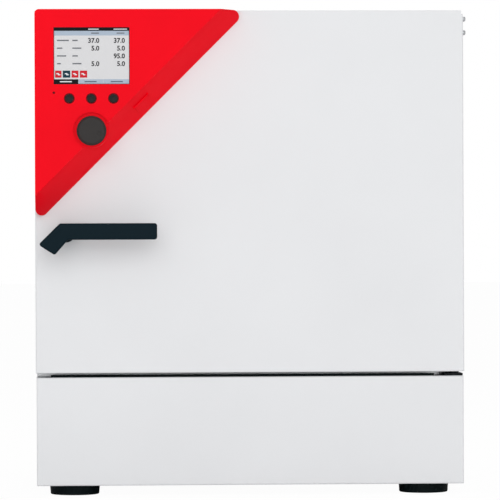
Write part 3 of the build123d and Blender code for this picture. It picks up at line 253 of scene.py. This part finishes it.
def noise(tree, vector, scale, detail=2.0, roughness=0.5):
    """A noise texture on these coordinates."""
    texture = tree.nodes.new("ShaderNodeTexNoise")
    texture.inputs["Scale"].default_value = scale
    texture.inputs["Detail"].default_value = detail
    texture.inputs["Roughness"].default_value = roughness
    tree.links.new(vector, texture.inputs["Vector"])
    return texture.outputs["Fac"]


def spread(tree, value, low, high):
    """Maps a texture's middle range to the numbers between low and high."""
    span = tree.nodes.new("ShaderNodeMapRange")
    span.inputs["From Min"].default_value = NOISE_LOW
    span.inputs["From Max"].default_value = NOISE_HIGH
    span.inputs["To Min"].default_value = low
    span.inputs["To Max"].default_value = high
    tree.links.new(value, span.inputs["Value"])
    return span.outputs["Result"]


def tint(tree, value, colour, dark, light):
    """A colour that varies between two strengths of itself."""
    ramp = tree.nodes.new("ShaderNodeValToRGB")
    ramp.color_ramp.elements[0].position = NOISE_LOW
    ramp.color_ramp.elements[1].position = NOISE_HIGH
    ramp.color_ramp.elements[0].color = [min(1, part * dark) for part in colour] + [1]
    ramp.color_ramp.elements[1].color = [min(1, part * light) for part in colour] + [1]
    tree.links.new(value, ramp.inputs["Fac"])
    return ramp.outputs["Color"]


def bump(tree, shader, height, depth, strength=1.0):
    """Turns a texture into surface relief of this depth in metres."""
    relief = tree.nodes.new("ShaderNodeBump")
    relief.inputs["Distance"].default_value = depth
    relief.inputs["Strength"].default_value = strength
    tree.links.new(height, relief.inputs["Height"])
    tree.links.new(relief.outputs["Normal"], shader.inputs["Normal"])


def coated(name, colour, grain, rough=(0.34, 0.44), relief=0.00002):
    """Powder coat: fine orange peel, almost even in colour."""
    material = bpy.data.materials.new(name)
    tree, shader = node_tree(material)
    place = object_coordinates(tree, EVEN)
    peel = noise(tree, place, scale=1 / grain, detail=3.0)
    clouds = noise(tree, place, scale=6, detail=2.0)
    tree.links.new(tint(tree, clouds, colour, dark=0.985, light=1.01), shader.inputs["Base Color"])
    tree.links.new(spread(tree, peel, *rough), shader.inputs["Roughness"])
    bump(tree, shader, peel, depth=relief, strength=0.35)
    shader.inputs["Specular IOR Level"].default_value = 0.4
    return material


def moulded(name, colour, rough=(0.22, 0.30), grain=0.0008, relief=0.00001, gloss=0.5):
    """Moulded plastic with a fine spark-eroded texture."""
    material = bpy.data.materials.new(name)
    tree, shader = node_tree(material)
    place = object_coordinates(tree, EVEN)
    texture = noise(tree, place, scale=1 / grain, detail=4.0, roughness=0.6)
    clouds = noise(tree, place, scale=9, detail=2.0)
    tree.links.new(tint(tree, clouds, colour, dark=0.96, light=1.03), shader.inputs["Base Color"])
    tree.links.new(spread(tree, texture, *rough), shader.inputs["Roughness"])
    bump(tree, shader, texture, depth=relief, strength=0.5)
    shader.inputs["Specular IOR Level"].default_value = gloss
    return material


def metal(name, colour, stretch, rough=(0.24, 0.38), relief=0.00001, scale=900):
    """Bare metal with marks that run along the axis with the small stretch."""
    material = bpy.data.materials.new(name)
    tree, shader = node_tree(material)
    marks = noise(tree, object_coordinates(tree, stretch), scale, detail=3.0, roughness=0.6)
    clouds = noise(tree, object_coordinates(tree, EVEN), scale=14, detail=3.0)
    tree.links.new(tint(tree, clouds, colour, dark=0.93, light=1.04), shader.inputs["Base Color"])
    tree.links.new(spread(tree, marks, *rough), shader.inputs["Roughness"])
    bump(tree, shader, marks, depth=relief, strength=0.4)
    shader.inputs["Metallic"].default_value = 1.0
    return material


def fibrous(name, colour, scale=350, relief=0.0004):
    """Fleece insulation: soft tangled fibres."""
    material = bpy.data.materials.new(name)
    tree, shader = node_tree(material)
    fibres = noise(tree, object_coordinates(tree, (1, 1, 3)), scale, detail=6.0, roughness=0.7)
    tree.links.new(tint(tree, fibres, colour, dark=0.8, light=1.1), shader.inputs["Base Color"])
    tree.links.new(spread(tree, fibres, low=0.8, high=0.95), shader.inputs["Roughness"])
    bump(tree, shader, fibres, depth=relief)
    return material


def rubbery(name, colour, sheen=0.15, rough=(0.5, 0.68), through=0.0, gloss=0.5):
    """Rubber or silicone: dull, with a soft bloom."""
    material = bpy.data.materials.new(name)
    tree, shader = node_tree(material)
    place = object_coordinates(tree, EVEN)
    bloom = noise(tree, place, scale=60, detail=4.0)
    skin = noise(tree, place, scale=1600, detail=2.0)
    tree.links.new(tint(tree, bloom, colour, dark=0.9, light=1.12), shader.inputs["Base Color"])
    tree.links.new(spread(tree, bloom, *rough), shader.inputs["Roughness"])
    bump(tree, shader, skin, depth=0.00002, strength=0.4)
    shader.inputs["Sheen Weight"].default_value = sheen
    shader.inputs["Subsurface Weight"].default_value = through
    shader.inputs["Specular IOR Level"].default_value = gloss
    return material


def clear_glass(name):
    """Clear pane with a faint green edge and faint wipe marks."""
    material = bpy.data.materials.new(name)
    tree, shader = node_tree(material)
    pale_green = (0.95, 0.985, 0.975)
    wipes = noise(tree, object_coordinates(tree, (1, 1, 0.4)), scale=11, detail=4.0)
    tree.links.new(tint(tree, wipes, pale_green, dark=0.99, light=1.0), shader.inputs["Base Color"])
    tree.links.new(spread(tree, wipes, low=0.015, high=0.05), shader.inputs["Roughness"])
    shader.inputs["Transmission Weight"].default_value = 0.97
    shader.inputs["IOR"].default_value = 1.5
    return material


def printed(name, colour, glow=0.0):
    """A patch of the display's picture, with a faint grid and at most a slight glow."""
    material = bpy.data.materials.new(name)
    tree, shader = node_tree(material)
    grid = noise(tree, object_coordinates(tree, EVEN), scale=4200, detail=1.0)
    tree.links.new(tint(tree, grid, colour, dark=0.985, light=1.01), shader.inputs["Base Color"])
    tree.links.new(spread(tree, grid, low=0.3, high=0.36), shader.inputs["Roughness"])
    shader.inputs["Emission Color"].default_value = (*colour, 1)
    shader.inputs["Emission Strength"].default_value = glow
    shader.inputs["Specular IOR Level"].default_value = SCREEN_GLOSS
    return material


def circuit(name):
    """Green board with faint tracks."""
    track_edge = 0.05
    board_edge = 0.09
    track_green = (0.03, 0.20, 0.07, 1)
    board_green = (0.008, 0.09, 0.03, 1)
    material = bpy.data.materials.new(name)
    tree, shader = node_tree(material)
    tracks = tree.nodes.new("ShaderNodeTexVoronoi")
    tracks.feature = "DISTANCE_TO_EDGE"
    tracks.inputs["Scale"].default_value = 210
    tree.links.new(object_coordinates(tree, (1, 0.3, 1)), tracks.inputs["Vector"])
    ramp = tree.nodes.new("ShaderNodeValToRGB")
    ramp.color_ramp.elements[0].position = track_edge
    ramp.color_ramp.elements[1].position = board_edge
    ramp.color_ramp.elements[0].color = track_green
    ramp.color_ramp.elements[1].color = board_green
    tree.links.new(tracks.outputs["Distance"], ramp.inputs["Fac"])
    tree.links.new(ramp.outputs["Color"], shader.inputs["Base Color"])
    shader.inputs["Roughness"].default_value = 0.35
    return material


def dress(material, *nodes):
    """Gives CAD nodes this material in each of their slots."""
    for node in nodes:
        for place in NODES[node].material_slots:
            place.material = material


def piece(name, mesh_maker, body, material):
    """A new mesh object from a bmesh function, riding on a body."""
    data = bpy.data.meshes.new(name)
    form = bmesh.new()
    mesh_maker(form)
    form.normal_update()
    form.to_mesh(data)
    form.free()
    made = bpy.data.objects.new(name, data)
    bpy.context.scene.collection.objects.link(made)
    made.data.materials.append(material)
    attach(made, body)
    return made


def add_slab(form, x0, x1, y0, y1, z0, z1):
    """Adds a thin slab to a bmesh."""
    made = bmesh.ops.create_cube(form, size=1)["verts"]
    bmesh.ops.scale(form, vec=(x1 - x0, y1 - y0, z1 - z0), verts=made)
    bmesh.ops.translate(form, vec=((x0 + x1) / 2, (y0 + y1) / 2, (z0 + z1) / 2), verts=made)


def add_turned(form, profile, place, axis, steps=32):
    """Adds a turned form to a bmesh: profile holds (along, radius) pairs from its base."""
    start = len(form.verts)
    rings = []
    for along, radius in profile:
        ring = []
        for step in range(steps):
            angle = 2 * math.pi * step / steps
            ring.append(form.verts.new((radius * math.cos(angle), radius * math.sin(angle), along)))
        rings.append(ring)
    for low, high in zip(rings, rings[1:]):
        for step in range(steps):
            following = (step + 1) % steps
            form.faces.new((low[step], low[following], high[following], high[step]))
    form.faces.new(list(reversed(rings[0])))
    form.faces.new(rings[-1])
    form.verts.ensure_lookup_table()
    turn = Vector((0, 0, 1)).rotation_difference(Vector(axis)).to_matrix()
    for vertex in form.verts[start:]:
        vertex.co = turn @ vertex.co + Vector(place)


def add_ring(form, profile, place, steps=36):
    """Adds a ring that faces the front: profile holds (along, radius) pairs across it."""
    rings = []
    for along, radius in profile:
        ring = []
        for step in range(steps):
            angle = 2 * math.pi * step / steps
            ring.append(form.verts.new((place[0] + radius * math.cos(angle), place[1] + along,
                                        place[2] + radius * math.sin(angle))))
        rings.append(ring)
    for inner, outer in zip(rings, rings[1:] + rings[:1]):
        for step in range(steps):
            following = (step + 1) % steps
            form.faces.new((inner[step], outer[step], outer[following], inner[following]))


def add_text(form, words, height, right, base, y):
    """Adds numbers to a bmesh, set flat on the front view, ending at the right edge."""
    line = bpy.data.curves.new("number", "FONT")
    line.body = words
    line.align_x = "RIGHT"
    line.size = height / NUMERAL_SHARE
    line.resolution_u = CURVE_STEPS
    line.offset = height * STROKE_SHARE
    holder = bpy.data.objects.new("number", line)
    shape = bpy.data.meshes.new_from_object(holder)
    start = len(form.verts)
    form.from_mesh(shape)
    form.verts.ensure_lookup_table()
    for vertex in form.verts[start:]:
        vertex.co = Vector((right + vertex.co.x, y, base + vertex.co.y))
    bpy.data.objects.remove(holder)
    bpy.data.curves.remove(line)
    bpy.data.meshes.remove(shape)


class INCUBATOR_OT_cabinet(bpy.types.Operator):
    """Finish the casing, chamber, frame and technical space"""

    bl_idname = "incubator.cabinet"
    bl_label = "Cabinet finishes"

    def execute(self, context):
        finish = context.scene.incubator_finish
        coat = coated("powder_coat", finish.coat_colour, finish.coat_grain)
        dress(coat, "outer_casing", "lower_front_panel", "rear_panel")
        drawn = metal("drawn_steel", (0.60, 0.61, 0.62), (1, 1 / finish.brush_length, ACROSS_BRUSH))
        dress(drawn, "inner_chamber", "shelf_1", "shelf_2", "shelf_3", "water_pan")
        brushed = metal("frame_steel", BARE_STEEL, (1 / finish.brush_length, 1, ACROSS_BRUSH))
        dress(brushed, "front_frame")
        zinc = metal("zinc_plate", ZINC, EVEN, rough=(0.3, 0.5), scale=PLATED_SCALE)
        dress(zinc, "base_pan", "compartment_floor", "hinge_bracket_upper",
              "latch_strike", "ethernet_socket", "gas_inlets")
        black_zinc = metal("black_zinc", BLACK_ZINC, EVEN, rough=(0.4, 0.55), scale=PLATED_SCALE)
        dress(black_zinc, "hinge_bracket_lower", "hinge_pin_lower")
        turned = metal("turned_steel", (0.55, 0.55, 0.56), (1, 1, 8), rough=(0.18, 0.3))
        dress(turned, "strike_roller", "access_port_sleeve", "gas_mixing_head",
              "co2_sensor", "temperature_probe", "glass_hinge_posts")
        foil = metal("foil", (0.75, 0.76, 0.77), EVEN, rough=(0.2, 0.4), relief=0.0003, scale=120)
        dress(foil, "heating_jacket")
        cast = metal("cast_alloy", (0.62, 0.63, 0.64), EVEN, rough=(0.4, 0.55), relief=0.00004,
                     scale=500)
        dress(cast, "gas_valve_block", "power_supply")
        dress(fibrous("fleece", FLEECE), "chamber_insulation")
        silicone = rubbery("silicone_seal", (0.62, 0.64, 0.66), sheen=0.1, through=0.1)
        dress(silicone, "inner_door_gasket", "port_plug")
        rubber = rubbery("black_rubber", (0.002, 0.006, 0.007), sheen=0.0, gloss=RUBBER_GLOSS)
        dress(rubber, "feet", "sill_strip")
        connector = moulded("black_connector", (0.01, 0.01, 0.012), rough=(0.3, 0.45))
        dress(connector, "power_inlet", "switch_frame", "power_switch")
        dress(circuit("board"), "control_board")
        return {"FINISHED"}


class INCUBATOR_OT_door(bpy.types.Operator):
    """Finish the outer door, its seal and hinge, and the inner glass door"""

    bl_idname = "incubator.door"
    bl_label = "Door finishes"

    def execute(self, context):
        finish = context.scene.incubator_finish
        dress(coated("door_coat", finish.coat_colour, finish.coat_grain), "door_skin")
        brushed = metal("liner_steel", BARE_STEEL, (1 / finish.brush_length, 1, ACROSS_BRUSH))
        dress(brushed, "door_liner")
        dress(fibrous("door_fleece", FLEECE), "door_insulation")
        dress(rubbery("door_silicone", (0.55, 0.57, 0.59), sheen=0.1, through=0.1), "door_gasket")
        zinc = metal("hinge_zinc", ZINC, EVEN, rough=(0.3, 0.45), scale=PLATED_SCALE)
        dress(zinc, "door_hinge_upper", "door_hinge_screws", "latch_spindle", "encoder", "usb_socket")
        black_zinc = metal("dark_zinc", BLACK_ZINC, EVEN, rough=(0.4, 0.55), scale=PLATED_SCALE)
        dress(black_zinc, "door_hinge_lower")
        dress(clear_glass("door_glass"), "inner_glass")
        dress(metal("clamp_steel", (0.55, 0.56, 0.57), (1, 1, 30)), "glass_hinge_clamps")
        dress(moulded("glass_knob_plastic", (0.02, 0.022, 0.025), rough=(0.3, 0.4)), "glass_door_knob")
        return {"FINISHED"}


class INCUBATOR_OT_controls(bpy.types.Operator):
    """Finish the control housing, the knob, the buttons and the handle"""

    bl_idname = "incubator.controls"
    bl_label = "Control finishes"

    def execute(self, context):
        finish = context.scene.incubator_finish
        red = moulded("red_moulding", finish.red_colour, rough=(0.34, 0.42), grain=0.0006,
                      relief=0.000006, gloss=RED_GLOSS)
        dress(red, "control_housing", "usb_cover")
        handle = moulded("handle_moulding", finish.handle_colour, rough=(0.38, 0.48), grain=0.0009,
                         relief=0.00002, gloss=HANDLE_GLOSS)
        dress(handle, "handle_lever", "handle_rosette")
        knob = moulded("knob_moulding", finish.knob_colour, rough=(0.5, 0.62), grain=0.0005,
                       relief=0.00002, gloss=SOFT_PLASTIC_GLOSS)
        dress(knob, "control_knob")
        button = moulded("button_moulding", (0.014, 0.012, 0.012), rough=(0.34, 0.44),
                         gloss=SOFT_PLASTIC_GLOSS)
        dress(button, "button_1", "button_2", "button_3")
        dress(circuit("panel_circuit"), "button_board")
        dress(moulded("module_frame", (0.03, 0.03, 0.035)), "display_module")
        dress(printed("screen_white", (0.68, 0.68, 0.69), glow=0.04), "display_glass")
        return {"FINISHED"}


class INCUBATOR_OT_screen(bpy.types.Operator):
    """Lay out the display's picture: bars, icons and the four rows of values"""

    bl_idname = "incubator.screen"
    bl_label = "Screen picture"

    def execute(self, context):
        layout = context.scene.incubator_screen
        left = GLASS_LOW[0]
        top = GLASS_HIGH[2]
        back = GLASS_LOW[1]
        front = back - layout.print_height

        def bar(form, across, down):
            add_slab(form, left + across[0] * MM, left + across[1] * MM, front, back,
                     top - down[1] * MM, top - down[0] * MM)

        def dark_bars(form):
            bar(form, (0.0, PICTURE_WIDTH), STATUS_BAR)
            bar(form, CHOSEN_TAB, TAB_BAR)
            bar(form, (0.0, BORDER), (STATUS_BAR[1], TAB_BAR[0]))
            bar(form, (PICTURE_WIDTH - BORDER, PICTURE_WIDTH), (STATUS_BAR[1], TAB_BAR[1]))
            bar(form, (CHOSEN_TAB[1], PICTURE_WIDTH - BORDER), LOWER_LINE)

        def pale_bars(form):
            bar(form, (0.0, PICTURE_WIDTH), HEADER_BAR)
            for tab in OTHER_TABS:
                bar(form, tab, TAB_BAR)

        def red_icons(form):
            for icon in RED_ICONS:
                bar(form, icon, ICON_BAR)

        def teal_icon(form):
            bar(form, TEAL_ICON, ICON_BAR)

        def numbers(form):
            for row, pair in enumerate(VALUE_ROWS):
                base = top - FIRST_ROW * MM - row * layout.row_pitch - layout.digit_height / 2
                for words, right in zip(pair, VALUE_ENDS):
                    if words:
                        add_text(form, words, layout.digit_height, left + right * MM, base, front)

        def labels(form):
            for row, (name_end, unit_end) in enumerate(zip(NAME_ENDS, UNIT_ENDS)):
                middle = FIRST_ROW + row * layout.row_pitch / MM
                down = (middle - LABEL_HALF_HEIGHT, middle + LABEL_HALF_HEIGHT)
                bar(form, (NAME_START, name_end), down)
                bar(form, (UNIT_START, unit_end), down)
            for mark in HEADER_MARKS:
                bar(form, mark, HEADER_MARK_BAR)

        def pale_marks(form):
            for mark in STATUS_MARKS:
                bar(form, mark, STATUS_MARK_BAR)
            bar(form, CHOSEN_TAB_MARK, TAB_MARK_BAR)
            for start in ICON_SIGN_STARTS:
                for (near, far), down in ICON_SIGN_BARS:
                    bar(form, (start + near, start + far), down)

        def dark_marks(form):
            for mark in OTHER_TAB_MARKS:
                bar(form, mark, TAB_MARK_BAR)

        patches = (
            ("screen_dark", dark_bars, (0.006, 0.006, 0.008)),
            ("screen_pale_blue", pale_bars, (0.42, 0.50, 0.60)),
            ("screen_red_icons", red_icons, (0.62, 0.02, 0.03)),
            ("screen_teal_icon", teal_icon, (0.01, 0.04, 0.06)),
            ("screen_numbers", numbers, (0.012, 0.012, 0.015)),
        )
        marks = (
            ("screen_labels", labels, (0.16, 0.17, 0.19)),
            ("screen_dark_marks", dark_marks, (0.10, 0.13, 0.18)),
            ("screen_light_marks", pale_marks, (0.8, 0.82, 0.85)),
        )
        for name, maker, colour in patches:
            piece(name, maker, "door", printed(name, colour))
        # The marks lie on the patches, one print height further out
        for name, maker, colour in marks:
            made = piece(name, maker, "door", printed(name, colour))
            made.location.y = -layout.print_height
        return {"FINISHED"}


class INCUBATOR_OT_trim(bpy.types.Operator):
    """Add the button rims darkened with painted recess shade, the handle's flange, the status lamp and
    the rear panel's screws
    """

    bl_idname = "incubator.trim"
    bl_label = "Small trim"

    def execute(self, context):
        finish = context.scene.incubator_finish

        # Shallow rings around each button, coloured dark red as painted shade of the recess around the
        # button
        def button_rim_shade(form):
            for step in (-1, 0, 1):
                place = (BUTTON_X + step * BUTTON_PITCH, HOUSING_LOW[1], BUTTON_Z)
                add_ring(form, RIM_PROFILE, place)

        def flange(form):
            add_turned(form, FLANGE_PROFILE, (LEVER_X, DOOR_FACE, LEVER_Z), FRONTWARD, steps=40)

        def lamp(form):
            place = (HOUSING_LOW[0] + LAMP_INSET, HOUSING_LOW[1] + LAMP_SINK,
                     HOUSING_HIGH[2] - LAMP_DOWN)
            add_turned(form, LAMP_PROFILE, place, FRONTWARD, steps=20)

        def rear_screws(form):
            left = REAR_LOW[0] + SCREW_INSET
            bottom = REAR_LOW[2] + SCREW_INSET
            width = REAR_HIGH[0] - REAR_LOW[0] - 2 * SCREW_INSET
            rise = REAR_HIGH[2] - REAR_LOW[2] - 2 * SCREW_INSET
            places = [(left + width * step / (SCREWS_ACROSS - 1), bottom + rise * end)
                      for step in range(SCREWS_ACROSS) for end in (0, 1)]
            places += [(left + width * end, bottom + rise * step / (SCREWS_UP - 1))
                       for step in range(1, SCREWS_UP - 1) for end in (0, 1)]
            for x, z in places:
                add_turned(form, SCREW_PROFILE, (x, REAR_HIGH[1], z), REARWARD, steps=20)

        # Dark red here is painted shade of the button recesses, not the housing's own colour
        rim_shade_material = moulded("button_rim_painted_shade", (0.16, 0.004, 0.008), gloss=0.05)
        piece("button_rim_shade", button_rim_shade, "door", rim_shade_material)
        dark = moulded("rosette_moulding", finish.handle_colour, rough=(0.38, 0.48), gloss=HANDLE_GLOSS)
        rosette_flange = piece("rosette_flange", flange, "door", dark)
        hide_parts("handle_rosette")
        lens = printed("lamp_lens", (0.09, 0.004, 0.006))
        piece("status_lamp", lamp, "door", lens)
        screw = metal("screw_zinc", (0.45, 0.46, 0.48), EVEN, rough=(0.25, 0.4), scale=PLATED_SCALE)
        piece("rear_panel_screws", rear_screws, "cabinet", screw)
        return {"FINISHED"}


def white_room(scene):
    """An even room light, and a white background for the camera and through the glass."""
    world = bpy.data.worlds.new("white_room")
    scene.world = world
    world.use_nodes = True
    tree = world.node_tree
    tree.nodes.clear()
    output = tree.nodes.new("ShaderNodeOutputWorld")
    room = tree.nodes.new("ShaderNodeBackground")
    seen = tree.nodes.new("ShaderNodeBackground")
    room.inputs["Color"].default_value = (1, 1, 1, 1)
    seen.inputs["Color"].default_value = (1, 1, 1, 1)
    room.inputs["Strength"].default_value = ROOM_STRENGTH
    seen.inputs["Strength"].default_value = 1.0
    mixed = tree.nodes.new("ShaderNodeMixShader")
    path = tree.nodes.new("ShaderNodeLightPath")
    either = tree.nodes.new("ShaderNodeMath")
    either.operation = "MAXIMUM"
    tree.links.new(path.outputs["Is Camera Ray"], either.inputs[0])
    tree.links.new(path.outputs["Is Transmission Ray"], either.inputs[1])
    tree.links.new(either.outputs[0], mixed.inputs["Fac"])
    tree.links.new(room.outputs[0], mixed.inputs[1])
    tree.links.new(seen.outputs[0], mixed.inputs[2])
    tree.links.new(mixed.outputs[0], output.inputs["Surface"])


def floor_paper():
    """Matt white paper, shown to the camera as nearly even white."""
    material = bpy.data.materials.new("floor_paper")
    tree, shader = node_tree(material)
    shader.inputs["Base Color"].default_value = FLOOR_COLOUR
    shader.inputs["Roughness"].default_value = 0.9
    glow = tree.nodes.new("ShaderNodeEmission")
    glow.inputs["Strength"].default_value = 1.0
    path = tree.nodes.new("ShaderNodeLightPath")
    share = tree.nodes.new("ShaderNodeMath")
    share.operation = "MULTIPLY"
    share.inputs[1].default_value = FLOOR_WHITE_SHARE
    mixed = tree.nodes.new("ShaderNodeMixShader")
    tree.links.new(path.outputs["Is Camera Ray"], share.inputs[0])
    tree.links.new(share.outputs[0], mixed.inputs["Fac"])
    tree.links.new(shader.outputs["BSDF"], mixed.inputs[1])
    tree.links.new(glow.outputs[0], mixed.inputs[2])
    tree.links.new(mixed.outputs[0], tree.nodes["Material Output"].inputs["Surface"])
    return material


def studio_floor(scene):
    """A wide floor at the height of the table."""
    data = bpy.data.meshes.new("studio_floor")
    form = bmesh.new()
    bmesh.ops.create_grid(form, x_segments=2, y_segments=2, size=FLOOR_HALF)
    form.to_mesh(data)
    form.free()
    floor = bpy.data.objects.new("studio_floor", data)
    scene.collection.objects.link(floor)
    data.materials.append(floor_paper())


def soft_light(scene, name, place, side, power):
    """A square area light that faces the middle of the object."""
    lamp = bpy.data.lights.new(name, "AREA")
    lamp.shape = "SQUARE"
    lamp.size = side
    lamp.energy = power
    holder = bpy.data.objects.new(name, lamp)
    holder.location = place
    holder.rotation_euler = (LIGHT_AIM - Vector(place)).to_track_quat("-Z", "Y").to_euler()
    scene.collection.objects.link(holder)


def photo_camera(scene, stage):
    """The camera at the photograph's viewing angle."""
    view = bpy.data.cameras.new("photo_camera")
    view.sensor_width = SENSOR_WIDTH
    picture_width = PICTURE_PIXELS * stage.picture_scale * MM
    view.lens = view.sensor_width * stage.camera_distance / picture_width
    view.clip_end = FAR_CLIP
    offset = math.atan2(-stage.camera_x, stage.camera_distance)
    yaw = offset * YAW_SHARE
    view.shift_x = math.tan(offset - yaw) * view.lens / view.sensor_width + SHIFT_X_TRIM
    view.shift_y = SHIFT_Y
    turn = Matrix.Rotation(-yaw, 4, "Z") @ Matrix.Rotation(math.pi / 2, 4, "X")
    turn = turn @ Matrix.Rotation(ROLL, 4, "Z")
    place = Matrix.Translation((stage.camera_x, DOOR_FRONT - stage.camera_distance, stage.camera_z))
    holder = bpy.data.objects.new("photo_camera", view)
    holder.matrix_world = place @ turn
    scene.collection.objects.link(holder)
    scene.camera = holder


class INCUBATOR_OT_stage(bpy.types.Operator):
    """Set the pale floor, the white background, the soft lights and the camera"""

    bl_idname = "incubator.stage"
    bl_label = "Stage"

    def execute(self, context):
        scene = context.scene
        stage = scene.incubator_stage
        scene.view_settings.view_transform = "Standard"
        white_room(scene)
        studio_floor(scene)
        for name, place, side, share in SOFT_LIGHTS:
            soft_light(scene, name, place, side, stage.light_power * share)
        photo_camera(scene, stage)
        return {"FINISHED"}


class INCUBATOR_PT_pieces(bpy.types.Panel):
    """Lists the incubator's pieces and their settings"""

    bl_idname = "INCUBATOR_PT_pieces"
    bl_label = "Incubator"
    bl_space_type = "VIEW_3D"
    bl_region_type = "UI"
    bl_category = "Incubator"

    def draw(self, context):
        column = self.layout.column()
        for group in (context.scene.incubator_finish, context.scene.incubator_screen,
                      context.scene.incubator_stage):
            for name in group.__annotations__:
                column.prop(group, name)
        for operator in PIECE_OPERATORS:
            column.operator(operator.bl_idname)


PIECE_OPERATORS = (
    INCUBATOR_OT_cabinet,
    INCUBATOR_OT_door,
    INCUBATOR_OT_controls,
    INCUBATOR_OT_screen,
    INCUBATOR_OT_trim,
    INCUBATOR_OT_stage,
)
CLASSES = (IncubatorFinish, IncubatorScreen, IncubatorStage, *PIECE_OPERATORS, INCUBATOR_PT_pieces)


def register():
    for group in CLASSES:
        bpy.utils.register_class(group)
    bpy.types.Scene.incubator_finish = PointerProperty(type=IncubatorFinish)
    bpy.types.Scene.incubator_screen = PointerProperty(type=IncubatorScreen)
    bpy.types.Scene.incubator_stage = PointerProperty(type=IncubatorStage)


def unregister():
    del bpy.types.Scene.incubator_finish
    del bpy.types.Scene.incubator_screen
    del bpy.types.Scene.incubator_stage
    for group in reversed(CLASSES):
        bpy.utils.unregister_class(group)


def main():
    register()
    bpy.ops.incubator.cabinet()
    bpy.ops.incubator.door()
    bpy.ops.incubator.controls()
    bpy.ops.incubator.screen()
    bpy.ops.incubator.trim()
    bpy.ops.incubator.stage()


if __name__ == "__main__":
    main()
